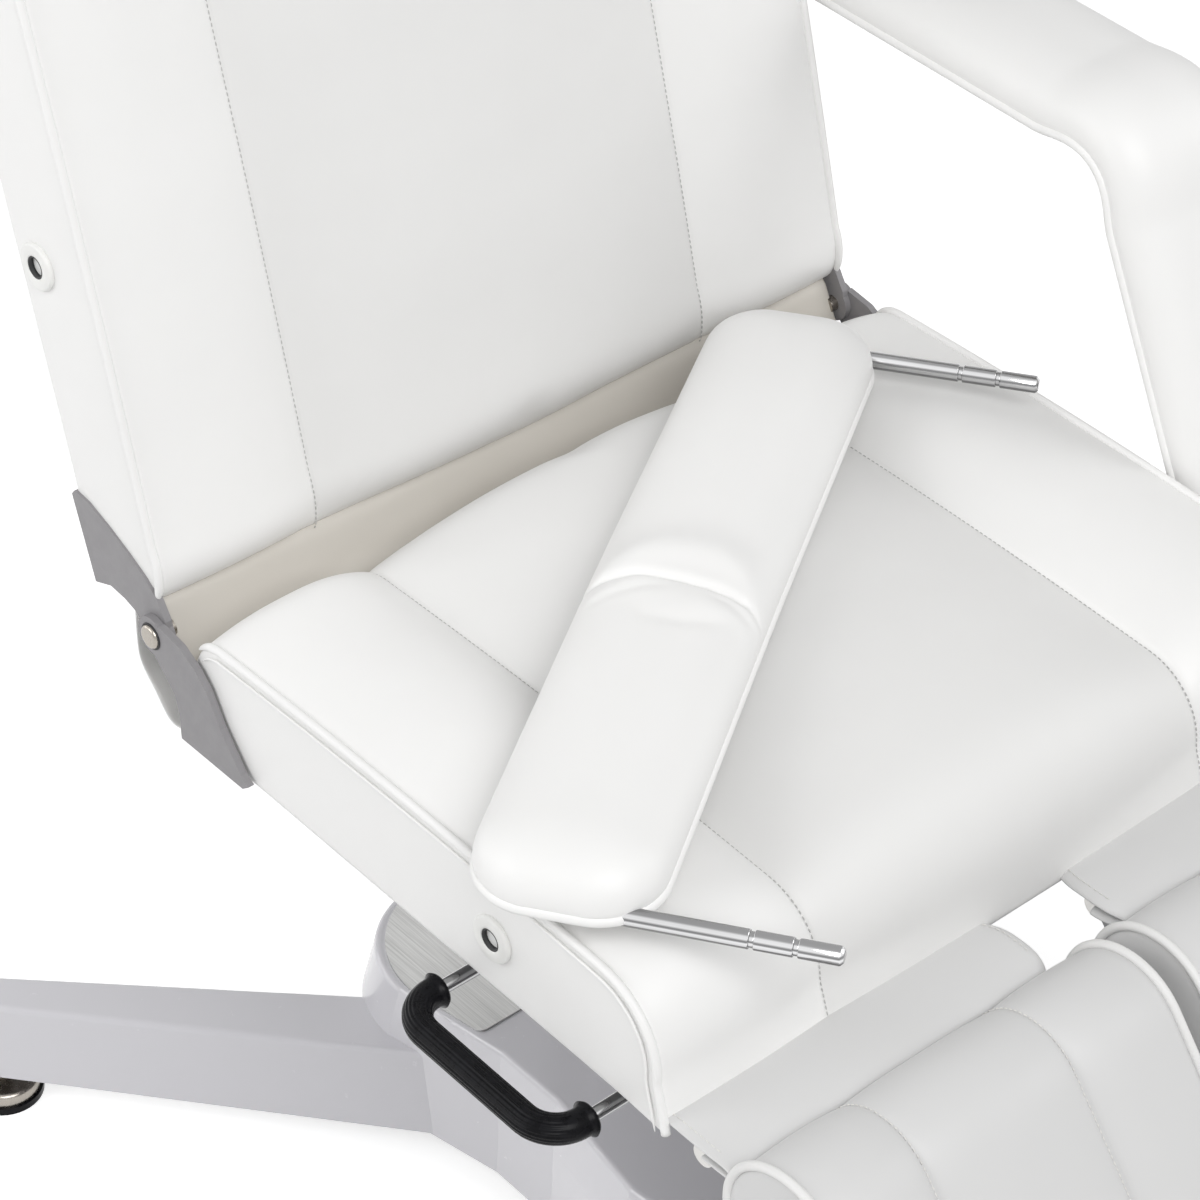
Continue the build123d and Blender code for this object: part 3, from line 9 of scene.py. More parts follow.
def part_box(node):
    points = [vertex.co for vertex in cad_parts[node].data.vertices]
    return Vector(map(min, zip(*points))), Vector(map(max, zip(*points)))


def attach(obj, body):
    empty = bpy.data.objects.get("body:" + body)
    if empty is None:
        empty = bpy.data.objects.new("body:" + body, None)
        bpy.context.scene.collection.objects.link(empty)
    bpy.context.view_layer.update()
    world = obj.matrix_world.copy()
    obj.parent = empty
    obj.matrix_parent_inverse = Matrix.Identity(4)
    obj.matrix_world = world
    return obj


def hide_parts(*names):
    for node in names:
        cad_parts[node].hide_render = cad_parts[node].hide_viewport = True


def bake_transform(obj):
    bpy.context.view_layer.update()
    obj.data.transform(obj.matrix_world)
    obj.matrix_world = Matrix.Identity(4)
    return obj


# Hydraulic treatment chair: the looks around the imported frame.
# Metres. Z is up, the chair faces -Y, the sitter's right is -X.
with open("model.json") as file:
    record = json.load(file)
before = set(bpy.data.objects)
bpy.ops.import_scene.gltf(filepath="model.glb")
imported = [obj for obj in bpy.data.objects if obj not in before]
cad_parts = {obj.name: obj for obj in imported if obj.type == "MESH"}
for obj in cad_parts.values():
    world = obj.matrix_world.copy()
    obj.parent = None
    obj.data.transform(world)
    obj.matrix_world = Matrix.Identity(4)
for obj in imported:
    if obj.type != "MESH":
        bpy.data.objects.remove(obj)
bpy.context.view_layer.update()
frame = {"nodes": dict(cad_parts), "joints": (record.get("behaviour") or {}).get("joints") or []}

MM = 0.001
MERGE = 1e-6           # metres, under which two points are one

# Places that the frame gives
joints = {joint["name"]: joint for joint in frame["joints"]}
HINGE = Vector(joints["back_recline"]["pos_m"])
LEG_PIVOT = Vector(joints["leg_lift_left"]["pos_m"])
ELBOW = Vector(joints["arm_elbow"]["pos_m"])
ARM_FRONT = Vector(joints["arm_swing"]["pos_m"])
PIN_REAR_LOW, PIN_REAR_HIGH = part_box("arm_pin_rear_left")
PAD_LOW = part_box("arm_pad_rear_left")[0]
PLATE_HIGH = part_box("seat_hinge_plates")[1]

# Rest pose
BACK_LEAN = math.radians(18.3)
LEG_HANG = math.radians(50)

# Photograph's camera
CAMERA_PLACE = Vector((-1.3906, -1.4104, 2.1098))
CAMERA_TILT = math.radians(90 - 38.7762)
CAMERA_TURN = math.radians(-43.0756)
CAMERA_ROLL = math.radians(2.7189)
CAMERA_LENS = 114.77
SENSOR = 36.0

# Padding and trim, in millimetres
GRID = 9.0             # spacing of a cushion's mesh before it is subdivided
PIPING_R = 3.0
TAPER_LENGTH = 16.0     # over which a piping runs out
TAPER_END = 0.25
SEAM_DEPTH = 3.0
SEAM_HALF = 1.0
SEAM_LIP = 4.0
CROWN_POWER = 2.3
BOARD_PROUD = 3.0      # how far a board stands out of the cushion that it is let into
PRESSURE = 4.0
SIM_FRAMES = 20


# Small helpers for points and meshes

def arc(start, middle, end, count):
    """Points on the arc through three points, both ends included."""
    (ax, ay), (bx, by), (cx, cy) = start, middle, end
    d = 2 * (ax * (by - cy) + bx * (cy - ay) + cx * (ay - by))
    if abs(d) < 1e-9:
        return [(ax + (cx - ax) * i / (count - 1), ay + (cy - ay) * i / (count - 1)) for i in range(count)]
    a2, b2, c2 = ax * ax + ay * ay, bx * bx + by * by, cx * cx + cy * cy
    ux = (a2 * (by - cy) + b2 * (cy - ay) + c2 * (ay - by)) / d
    uy = (a2 * (cx - bx) + b2 * (ax - cx) + c2 * (bx - ax)) / d
    radius = math.hypot(ax - ux, ay - uy)
    first = math.atan2(ay - uy, ax - ux)
    mid = (math.atan2(by - uy, bx - ux) - first) % (2 * math.pi)
    last = (math.atan2(cy - uy, cx - ux) - first) % (2 * math.pi)
    if mid > last:
        last -= 2 * math.pi
    turns = [first + last * i / (count - 1) for i in range(count)]
    return [(ux + radius * math.cos(turn), uy + radius * math.sin(turn)) for turn in turns]


def path_points(corners, count):
    """Evenly spaced points along lines and arcs. A corner is (y, z) or, for an arc, (middle, end)."""
    points = [corners[0]]
    for corner in corners[1:]:
        if isinstance(corner[0], tuple):
            points += arc(points[-1], corner[0], corner[1], 24)[1:]
        else:
            points.append(corner)
    return resample(np.array(points, float), count)


def distances(points):
    """How far along a line each of its points lies."""
    return np.concatenate([[0], np.cumsum(np.linalg.norm(np.diff(points, axis=0), axis=1))])


def resample(points, count):
    """The same line with evenly spaced points."""
    along = distances(points)
    wanted = np.linspace(0, along[-1], count)
    return np.stack([np.interp(wanted, along, points[:, k]) for k in range(points.shape[1])], 1)


def smooth_line(points, count):
    """Evenly spaced points on a smooth curve through the given ones."""
    p = np.array(points, float)
    held = np.vstack([2 * p[0] - p[1], p, 2 * p[-1] - p[-2]])
    out = []
    for p0, p1, p2, p3 in zip(held, held[1:], held[2:], held[3:]):
        for t in np.linspace(0, 1, 12, endpoint=False):
            out.append(0.5 * (
                2 * p1 + (p2 - p0) * t + (2 * p0 - 5 * p1 + 4 * p2 - p3) * t ** 2
                + (3 * p1 - p0 - 3 * p2 + p3) * t ** 3))
    out.append(p[-1])
    return resample(np.array(out), count)


def unit(vectors):
    """The same directions, each one unit long."""
    return vectors / np.linalg.norm(vectors, axis=-1, keepdims=True)


def outward_normals(wrap):
    """Unit vectors out of a closed side view, at each point of its outline."""
    along = unit(np.gradient(wrap, axis=0))
    outward = np.stack([-along[:, 1], along[:, 0]], 1)
    return -outward if ((wrap - wrap.mean(0)) * outward).sum() < 0 else outward


def new_object(name, data):
    obj = bpy.data.objects.new(name, data)
    bpy.context.scene.collection.objects.link(obj)
    return obj


def make_object(name, shape, material, body, slot_name="upholstery", sharp=None):
    """A mesh object in metres from a shape: its points in millimetres and its faces."""
    verts, faces = shape
    mesh = bpy.data.meshes.new(name)
    mesh.from_pydata([tuple(float(c) * MM for c in v) for v in verts], [], faces)
    bm = bmesh.new()
    bm.from_mesh(mesh)
    bmesh.ops.remove_doubles(bm, verts=bm.verts, dist=MERGE)
    bmesh.ops.dissolve_degenerate(bm, dist=MERGE, edges=bm.edges)
    bmesh.ops.recalc_face_normals(bm, faces=bm.faces)
    bm.to_mesh(mesh)
    bm.free()
    mesh.materials.append(material)
    mesh.polygons.foreach_set("use_smooth", [True] * len(mesh.polygons))
    if sharp:
        mesh.set_sharp_from_angle(angle=math.radians(sharp))
    obj = new_object(name, mesh)
    if body:
        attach(obj, body)
    return obj


def grid_faces(rows, columns, close_rows=False, close_columns=False, start=0):
    """Quads over a grid of points numbered row by row."""
    faces = []
    for r in range(rows if close_rows else rows - 1):
        for c in range(columns if close_columns else columns - 1):
            r2, c2 = (r + 1) % rows, (c + 1) % columns
            faces.append((start + r * columns + c, start + r * columns + c2,
                          start + r2 * columns + c2, start + r2 * columns + c))
    return faces


def frames_along(points, closed=False):
    """Two directions across a line at each point, turned as little as possible from one to the next."""
    p = np.array(points, float)
    tangent = unit(np.roll(p, -1, 0) - np.roll(p, 1, 0) if closed else np.gradient(p, axis=0))
    side = np.zeros_like(p)
    start = np.array([1.0, 0, 0]) if abs(tangent[0][0]) < 0.8 else np.array([0, 0, 1.0])
    side[0] = unit(start - tangent[0] * (start @ tangent[0]))
    for i in range(1, len(p)):
        side[i] = unit(side[i - 1] - tangent[i] * (side[i - 1] @ tangent[i]))
    return tangent, side, np.cross(tangent, side)


def tube_mesh(points, radius, around=12, closed=False, ribs=0, rib_depth=None, cap=True):
    """Points and faces of a round bar along a line. The radius may be one number or one for each point."""
    p = np.array(points, float)
    n = len(p)
    tangent, side, other = frames_along(p, closed)
    radii = np.full(n, float(radius)) if np.isscalar(radius) else np.array(radius, float)
    verts = []
    for i in range(n):
        for k in range(around):
            angle = 2 * math.pi * k / around
            r = radii[i]
            if ribs:
                r -= rib_depth[i] * (0.5 - 0.5 * math.cos(ribs * angle)) ** 3
            verts.append(p[i] + side[i] * (r * math.cos(angle)) + other[i] * (r * math.sin(angle)))
    faces = grid_faces(n, around, close_rows=closed, close_columns=True)
    if cap and not closed:
        for at, sign in ((0, -1), (n - 1, 1)):
            verts.append(p[at] + tangent[at] * sign * radii[at] * 0.35)
            tip = len(verts) - 1
            faces += [(at * around + k, at * around + (k + 1) % around, tip) for k in range(around)]
    return verts, faces


def join(parts):
    """Several shapes as one."""
    verts, faces = [], []
    for v, f in parts:
        base = len(verts)
        verts += list(v)
        faces += [tuple(i + base for i in face) for face in f]
    return verts, faces


def moved(shape, place):
    """A shape with its points taken to another place."""
    verts, faces = shape
    return place(verts), faces


def closed_pair(upper, lower, rows, columns):
    """Two grids of points, one over the other, as one skin that is closed along their border."""
    count = rows * columns
    faces = grid_faces(rows, columns)
    faces += [tuple(i + count for i in reversed(face)) for face in faces]
    border = [r * columns for r in range(rows)] + [(rows - 1) * columns + c for c in range(1, columns)]
    border += [r * columns + columns - 1 for r in range(rows - 2, -1, -1)] + list(range(columns - 2, 0, -1))
    faces += [(a, b, b + count, a + count) for a, b in zip(border, border[1:] + border[:1])]
    return np.vstack([upper, lower]), faces


def mesh_points(obj):
    co = np.zeros(len(obj.data.vertices) * 3)
    obj.data.vertices.foreach_get("co", co)
    return co.reshape(-1, 3)


def set_mesh_points(obj, co):
    obj.data.vertices.foreach_set("co", np.asarray(co, np.float32).ravel())
    obj.data.update()


def apply_modifiers(obj):
    depsgraph = bpy.context.evaluated_depsgraph_get()
    mesh = bpy.data.meshes.new_from_object(obj.evaluated_get(depsgraph))
    old = obj.data
    obj.modifiers.clear()
    obj.data = mesh
    mesh.name = old.name
    bpy.data.meshes.remove(old)


def subdivide(obj):
    modifier = obj.modifiers.new("smooth", "SUBSURF")
    modifier.levels = modifier.render_levels = 1
    apply_modifiers(obj)
    obj.data.polygons.foreach_set("use_smooth", [True] * len(obj.data.polygons))


def value_noise(points, size, seed):
    """Smooth noise from -1 to 1 at points in millimetres, with features of about the given size."""
    rng = np.random.default_rng(seed)
    out = np.zeros(len(points))
    for _ in range(10):
        direction = rng.normal(size=3)
        direction /= np.linalg.norm(direction)
        wave = size * rng.uniform(0.7, 1.6)
        out += np.sin(points @ direction * 2 * math.pi / wave + rng.uniform(0, 2 * math.pi))
    return out / 4.0


def inflate(obj, pinned, cap_mm):
    """Swell a closed cushion as cloth under pressure, its sewn lines held, and keep the result."""
    rest = mesh_points(obj)
    group = obj.vertex_groups.new(name="sewn")
    group.add([int(i) for i in np.nonzero(pinned)[0]], 1.0, "REPLACE")
    cloth = obj.modifiers.new("cloth", "CLOTH")
    settings = cloth.settings
    settings.vertex_group_mass = "sewn"
    settings.use_pressure = True
    settings.uniform_pressure_force = PRESSURE
    settings.mass = 0.4
    settings.tension_stiffness = settings.compression_stiffness = 25
    settings.shear_stiffness = 12
    settings.bending_stiffness = 2.0
    settings.quality = 5
    settings.effector_weights.gravity = 0
    cloth.collision_settings.use_collision = False
    scene = bpy.context.scene
    scene.frame_start, scene.frame_end = 1, SIM_FRAMES
    for number in range(1, SIM_FRAMES + 1):
        scene.frame_set(number)
    depsgraph = bpy.context.evaluated_depsgraph_get()
    swollen = obj.evaluated_get(depsgraph).to_mesh()
    co = np.zeros(len(swollen.vertices) * 3)
    swollen.vertices.foreach_get("co", co)
    obj.evaluated_get(depsgraph).to_mesh_clear()
    obj.modifiers.remove(cloth)
    obj.vertex_groups.remove(group)
    move = co.reshape(-1, 3) - rest
    far = np.linalg.norm(move, axis=1)
    cap = cap_mm * MM
    move *= (np.tanh(far / cap) * cap / np.maximum(far, 1e-9))[:, None]
    set_mesh_points(obj, rest + move)
    scene.frame_set(1)


# Materials

def feed(node, inputs):
    """Give a node's inputs their values, or link them to the sockets that feed them."""
    for key, value in dict(inputs).items():
        if isinstance(value, bpy.types.NodeSocket):
            node.id_data.links.new(value, node.inputs[key])
        else:
            node.inputs[key].default_value = value


def add(owner, kind, inputs=(), **settings):
    """A node of a material or world, with its inputs given as for feed."""
    node = owner.node_tree.nodes.new(kind)
    for key, value in settings.items():
        setattr(node, key, value)
    feed(node, inputs)
    return node


def fresh_output(owner, kind):
    """The output of a material or world whose other nodes are cleared."""
    owner.use_nodes = True
    owner.node_tree.nodes.clear()
    return add(owner, kind)


def new_material(name):
    material = bpy.data.materials.new(name)
    output = fresh_output(material, "ShaderNodeOutputMaterial")
    shader = add(material, "ShaderNodeBsdfPrincipled")
    feed(output, {0: shader.outputs[0]})
    return material, shader


def object_place(material, scale=(1, 1, 1)):
    """Object coordinates in metres, stretched by a scale."""
    place = add(material, "ShaderNodeTexCoord")
    return add(material, "ShaderNodeMapping", {"Vector": place.outputs["Object"], "Scale": scale}).outputs[0]


def ramp(material, factor, stops):
    """A colour ramp with (place, colour) stops."""
    node = add(material, "ShaderNodeValToRGB", {"Fac": factor})
    elements = node.color_ramp.elements
    while len(elements) < len(stops):
        elements.new(0.5)
    for element, (place, colour) in zip(elements, stops):
        element.position = place
        element.color = (*colour, 1)
    return node.outputs["Color"]


def grey(value):
    return (value, value, value)


def scaled(colour, share):
    return tuple(c * share for c in colour)


def noise(material, vector, scale, detail=3.0, roughness=0.5):
    return add(material, "ShaderNodeTexNoise", {
        "Vector": vector, "Scale": scale, "Detail": detail, "Roughness": roughness}).outputs["Fac"]


def bump(material, height, strength, distance):
    return add(material, "ShaderNodeBump", {
        "Height": height, "Strength": strength, "Distance": distance}).outputs[0]


def maths(owner, operation, first, second):
    return add(owner, "ShaderNodeMath", {0: first, 1: second}, operation=operation).outputs[0]


def multiply(material, first, second):
    """Two colours multiplied."""
    return add(material, "ShaderNodeMix", {0: 1.0, 6: first, 7: second},
               data_type="RGBA", blend_type="MULTIPLY").outputs[2]


def finish(name, tone, gloss, relief, levels=()):
    """A material with noise in its tone, gloss and relief.

    tone and gloss are the noise's values and the stops of its ramp. relief is the noise's values, the bump's
    strength and its depth. levels gives further inputs of the shader.
    """
    material, shader = new_material(name)
    place = object_place(material)
    for key, (values, *stops) in (("Base Color", tone), ("Roughness", gloss)):
        feed(shader, {key: ramp(material, noise(material, place, *values), stops)})
    values, strength, depth = relief
    feed(shader, {"Normal": bump(material, noise(material, place, *values), strength, depth)})
    feed(shader, levels)
    return material


def leatherette(name, colour, shade, rough=(0.36, 0.50)):
    """Coated vinyl: pebbled grain, faint tone changes and a soft satin gloss."""
    material = finish(name, ((9.0, 4.0), (0.30, shade), (0.70, colour)),
                      ((35.0, 5.0, 0.6), (0.30, grey(rough[0])), (0.75, grey(rough[1]))),
                      ((60.0, 2.0), 0.05, 0.0008),
                      {"Specular IOR Level": 0.42, "Sheen Weight": 0.06, "Sheen Roughness": 0.4})
    place = object_place(material)
    cells = add(material, "ShaderNodeTexVoronoi", {"Vector": place, "Scale": 1150.0, "Randomness": 1.0},
                feature="SMOOTH_F1")
    grain = maths(material, "ADD", cells.outputs["Distance"], noise(material, place, 2600.0, 2.0))
    waves = next(node for node in material.node_tree.nodes if node.type == "BUMP")
    feed(waves, {"Normal": bump(material, grain, 0.09, 0.0002)})
    return material


def gloss_paint(name, colour, shade, rough, coat, peel):
    """Sprayed paint: orange peel, a clear gloss and dust-fine tone changes."""
    return finish(name, ((6.0, 3.0), (0.25, shade), (0.75, colour)),
                  ((90.0, 6.0, 0.65), (0.35, grey(rough)), (0.80, grey(rough * 1.5))),
                  ((420.0, 2.0), peel, 0.0004), {"Coat Weight": coat, "Coat Roughness": 0.12})


def rubber(name, colour, rough):
    """Moulded rubber with dust on it."""
    dust = (130.0, 5.0, 0.7)
    return finish(name, (dust, (0.45, colour), (0.85, scaled(colour, 2.6))),
                  (dust, (0.3, grey(rough)), (0.8, grey(rough + 0.2))),
                  ((900.0, 3.0), 0.15, 0.0003), {"Specular IOR Level": 0.10})


def plastic(name, colour, rough=0.32):
    """Moulded plastic, thread or lining."""
    return finish(name, ((40.0, 3.0), (0.3, scaled(colour, 0.95)), (0.7, colour)),
                  ((200.0, 4.0), (0.3, grey(rough)), (0.8, grey(rough + 0.1))),
                  ((1500.0, 2.0), 0.08, 0.0002))


def metal(name, colour, rough, smudge, grain=(1, 1, 1), grain_scale=300.0, grain_depth=0.0, painted_reflection=None):
    """Bare or plated metal, smudged or brushed along the direction of the smallest grain value.

    The last argument paints a studio's reflection into the colour: dark and bright bands by the direction
    that the surface faces.
    """
    material, shader = new_material(name)
    tone = noise(material, object_place(material), 14.0, 4.0)
    colours = ramp(material, tone, [(0.3, scaled(colour, 0.88)), (0.7, colour)])
    lines = noise(material, object_place(material, grain), grain_scale, 6.0, 0.7)
    if grain_depth:
        streaks = ramp(material, lines, [(0.32, grey(0.62)), (0.68, grey(1.0))])
        colours = multiply(material, colours, streaks)
        feed(shader, {"Normal": bump(material, lines, grain_depth, 0.0003)})
    if painted_reflection:
        facing = add(material, "ShaderNodeSeparateXYZ", {
            0: add(material, "ShaderNodeNewGeometry").outputs["Normal"]})
        height = add(material, "ShaderNodeMapRange", {
            "Value": facing.outputs["Z"], "From Min": -1.0, "From Max": 1.0})
        colours = multiply(material, colours, ramp(material, height.outputs[0], painted_reflection))
    gloss = ramp(material, lines, [(0.3, grey(rough)), (0.8, grey(rough + smudge))])
    feed(shader, {"Base Color": colours, "Roughness": gloss, "Metallic": 1.0})
    return material


WHITE = leatherette("white_leatherette", (0.88, 0.877, 0.868), (0.865, 0.862, 0.853))
# Greyer leatherette for the middle panels of seat and back, darker than the side panels; on the leg piping it
# is painted shade
PANEL = leatherette("panel_leatherette", (0.80, 0.797, 0.788), (0.785, 0.782, 0.773), rough=(0.42, 0.52))
# Leg rests and flaps: a greyer leatherette, painted shade, as they face away from the light
LEG_PAINTED_SHADE = leatherette("leg_leatherette", (0.67, 0.669, 0.667), (0.655, 0.654, 0.652), rough=(0.40, 0.52))
# The web's beige is painted shade: white vinyl seen deep in the fold between seat and back
GUSSET_PAINTED_SHADE = leatherette("gusset_vinyl", (0.63, 0.60, 0.55), (0.61, 0.58, 0.53))
BASE_PAINT = gloss_paint("base_gloss_paint", (0.66, 0.653, 0.685), (0.652, 0.645, 0.677), 0.2, 0.6, 0.02)
FRAME_PAINT = gloss_paint("frame_powder_coat", (0.42, 0.42, 0.43), (0.39, 0.39, 0.40), 0.42, 0.0, 0.2)
HINGE_PAINT = gloss_paint("hinge_powder_coat", (0.27, 0.262, 0.27), (0.25, 0.243, 0.252), 0.45, 0.0, 0.2)
BLACK_PAINT = gloss_paint("black_paint", (0.016, 0.016, 0.018), (0.012, 0.012, 0.013), 0.3, 0.2, 0.06)
PUMP_PAINT = gloss_paint("pump_paint", (0.07, 0.07, 0.075), (0.055, 0.055, 0.06), 0.4, 0.0, 0.35)
# Chrome with a painted reflection: dark and bright bands by the way the surface faces
CHROME = metal("chrome_plate", (0.86, 0.86, 0.87), 0.05, smudge=0.04, painted_reflection=[
    (0.0, grey(0.30)), (0.36, grey(0.26)), (0.44, grey(0.62)), (0.60, grey(0.75)), (0.66, grey(0.34)),
    (0.72, grey(0.30)), (0.80, grey(1.0)), (0.90, grey(0.95)), (0.95, grey(0.42)), (1.0, grey(0.38))])
ZINC = metal("zinc_plate", (0.62, 0.61, 0.59), 0.30, smudge=0.12)
NICKEL = metal("nickel_plate", (0.40, 0.37, 0.33), 0.22, smudge=0.10)
BRUSHED = metal("brushed_steel", (0.70, 0.70, 0.69), 0.30, smudge=0.14, grain=(1.0, 0.012, 1.0),
                grain_scale=900.0, grain_depth=0.12)
RUBBER = rubber("black_rubber", (0.004, 0.004, 0.005), rough=0.20)
WHITE_PLASTIC = plastic("white_plastic", (0.84, 0.84, 0.82))
BLACK_PLASTIC = plastic("black_plastic", (0.014, 0.014, 0.015), rough=0.5)
THREAD = plastic("white_thread", (0.80, 0.79, 0.76), rough=0.6)
SEAM_THREAD = plastic("seam_thread", (0.50, 0.50, 0.49), rough=0.6)
LINING = plastic("lining_cloth", (0.42, 0.42, 0.42), rough=0.8)

node_materials = {
    BASE_PAINT: ["base_shell", "column_cylinder"],
    FRAME_PAINT: ["base_cross_frame", "seat_frame", "back_frame", "leg_frame_left", "leg_frame_right",
                  "seat_carrier", "swivel_bearing"],
    HINGE_PAINT: ["seat_hinge_plates", "back_hinge_plates"],
    CHROME: ["piston_rod", "headrest_posts", "release_bar_left", "release_bar_right", "column_collar"],
    ZINC: ["leg_hinge_shafts", "pedal_shaft", "back_spring_rod", "leg_spring_rod_left",
           "leg_spring_rod_right", "arm_strip_front_left", "arm_strip_rear_left", "arm_strips_right",
           "piston_head", "pedal_lever"],
    NICKEL: ["hinge_pins", "levelling_feet"],
    BRUSHED: ["base_cover_plate"],
    BLACK_PAINT: ["gas_spring_barrels"],
    PUMP_PAINT: ["pump_block"],
    RUBBER: ["foot_pads", "pedal_pad", "column_gland"],
    BLACK_PLASTIC: ["seat_socket_tubes", "back_socket_tubes"],
    LINING: ["seat_board", "leg_board_left", "leg_board_right"],
    WHITE: ["back_board", "headrest_board"],
}
for material, names in node_materials.items():
    for name in names:
        node = frame["nodes"][name]
        node.data.materials.clear()
        node.data.materials.append(material)


# Poses of the leaning and hanging parts

def placed_back(points):
    """From the backrest's own upright frame (X, behind, up) to the rest pose."""
    p = np.array(points, float)
    c, s = math.cos(BACK_LEAN), math.sin(BACK_LEAN)
    y = p[:, 1] * c + p[:, 2] * s + HINGE.y / MM
    z = -p[:, 1] * s + p[:, 2] * c + HINGE.z / MM
    return np.stack([p[:, 0], y, z], 1)


def placed_leg(points):
    """From a leg rest's own level frame to the rest pose."""
    p = np.array(points, float)
    c, s = math.cos(LEG_HANG), math.sin(LEG_HANG)
    y = p[:, 1] * c - p[:, 2] * s + LEG_PIVOT.y / MM
    z = p[:, 1] * s + p[:, 2] * c + LEG_PIVOT.z / MM
    return np.stack([p[:, 0], y, z], 1)


def stay(points):
    """For parts whose own frame is the rest pose already."""
    return np.array(points, float)


# Cushions

def stations_across(edges):
    """X places across the panels: even steps, closer together beside each sewn seam."""
    places = []
    for i, (low, high) in enumerate(zip(edges, edges[1:])):
        near_low = [SEAM_HALF, SEAM_LIP] if i > 0 else [SEAM_LIP]
        near_high = [SEAM_LIP, SEAM_HALF] if i < len(edges) - 2 else [SEAM_LIP]
        start, stop = low + near_low[-1], high - near_high[0]
        count = max(2, round((stop - start) / GRID))
        places.append(low)
        places += [low + d for d in near_low[:-1]]
        places += [start + (stop - start) * k / count for k in range(count + 1)]
        places += [high - d for d in near_high[1:]]
    places.append(edges[-1])
    return places


def crown_at(x, edges, edge_lifts, crowns):
    """Height of the panels above the seams at one X, with the sewn tuck."""
    for i, (low, high) in enumerate(zip(edges, edges[1:])):
        if low <= x <= high:
            t = (x - low) / (high - low)
            level = edge_lifts[i] * (1 - t) + edge_lifts[i + 1] * t
            lift = level + (crowns[i] - level) * (1 - abs(2 * t - 1) ** CROWN_POWER)
            break
    for seam in edges[1:-1]:
        lift -= SEAM_DEPTH * math.exp(-((x - seam) / SEAM_HALF) ** 2 / 1.2)
    return lift


def inward(wrap):
    """Unit vector across the open side of a cushion's outline, into the cushion."""
    along = unit(wrap[-1] - wrap[0])
    across = np.array([-along[1], along[0]])
    return across if (wrap.mean(0) - wrap[0]) @ across > 0 else -across


def rounded_half(half, corner, over):
    """Half the width of an outline with rounded corners, at a height over the start of the round."""
    return half - corner + math.sqrt(max(corner ** 2 - over ** 2, 0)) if over > 0 else half


def no_trim(x, p):
    return x


def cushion(name, outline, edges, edge_lifts, crowns, place, body, node, trim=no_trim, seed=1,
            swell=5.0, side_bulge=2.0, hold=False, panel=False, cover=WHITE):
    """A boxed cushion of crowned panels, closed all round. Returns its rows of points.

    outline(lift) gives the side view from rear bottom over the top to front bottom. trim maps (x, side point)
    to a new x, for rounded corners. place moves the points to the rest pose.
    """
    length = distances(path_points(outline(crowns[0]), 200))[-1]
    along = round(length / GRID) + 1
    rows = []
    xs = stations_across(edges)
    for x in xs:
        wrap = path_points(outline(crown_at(x, edges, edge_lifts, crowns)), along)
        bottom = np.stack([
            np.linspace(wrap[0][0], wrap[-1][0], along), np.linspace(wrap[0][1], wrap[-1][1], along)], 1)
        if abs(x) not in (abs(xs[0]), abs(xs[-1])):
            bottom[2:-2] += inward(wrap) * BOARD_PROUD
        rows.append((x, wrap, bottom))
    verts, pins = [], []
    for x, wrap, bottom in rows:
        for i, p in enumerate(wrap):
            verts.append((trim(x, p), *p))
            pins.append(any(abs(x - edge) <= SEAM_HALF + 0.1 for edge in edges) or i in (0, along - 1))
        for p in bottom[-2:0:-1]:
            verts.append((trim(x, p), *p))
            pins.append(True)
    faces = grid_faces(len(rows), 2 * along - 2, close_columns=True)
    height = max(wrap[:, 1].max() for _, wrap, _ in rows) - min(wrap[:, 1].min() for _, wrap, _ in rows)
    levels = max(4, round(min(height, 90) / GRID))
    for row, sign in ((0, -1), (-1, 1)):
        x, wrap, bottom = rows[row]
        base = len(verts)
        for level in range(levels + 1):
            t = level / levels
            for i in range(along):
                p = wrap[i] * (1 - t) + bottom[i] * t
                swelling = side_bulge * math.sin(math.pi * t) * math.sin(math.pi * i / (along - 1)) ** 0.5
                verts.append((trim(x, p) + sign * swelling, *p))
                pins.append(level in (0, levels) or hold)
        faces += grid_faces(levels + 1, along, start=base)
    placed = place(verts)
    obj = make_object(name, (placed, faces), cover, None)
    sewn = {tuple(np.round(p, 2)): flag for p, flag in zip(placed, pins)}
    pinned = np.array([sewn.get(tuple(np.round(p, 2)), False) for p in mesh_points(obj) / MM])
    inflate(obj, pinned, swell)
    co = mesh_points(obj)
    normals = np.zeros(len(co) * 3)
    obj.data.vertices.foreach_get("normal", normals)
    slack = value_noise(co / MM, 120.0, seed) * 0.5 + value_noise(co / MM, 45.0, seed + 7) * 0.15
    slack[pinned] = 0
    set_mesh_points(obj, co + normals.reshape(-1, 3) * slack[:, None] * MM)
    subdivide(obj)
    if panel:
        obj.data.materials.append(PANEL)
        for face in obj.data.polygons:
            if edges[1] < face.center.x / MM < edges[2]:
                face.material_index = 1
    if len(edges) > 2:
        seam_lines(name, rows, edges, place, body, THREAD if cover is LEG_PAINTED_SHADE else SEAM_THREAD)
    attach(obj, body)
    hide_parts(node)
    return rows


def seam_lines(name, rows, edges, place, body, thread):
    """The stitched line that shows in the tuck of each seam."""
    for k, seam in enumerate(edges[1:-1]):
        wrap = min(rows, key=lambda row: abs(row[0] - seam))[1]
        raised = [(seam, *p) for p in wrap + outward_normals(wrap)]
        line = smooth_line(place(raised[3:-1]), len(wrap) * 4)
        stitches(f"{name}_seam_{k}", line, body, length=2.6, gap=1.5, radius=0.5, thread=thread)


def edge_line(row, place, trim, out_x, out, skip):
    """The line along one side of a cushion's cover where its piping is sewn."""
    x, wrap, _ = row
    raised = wrap + outward_normals(wrap) * out
    points = [(trim(x, wrap[i]) + out_x, *raised[i]) for i in range(skip[0], len(wrap) - skip[1])]
    return place(points)


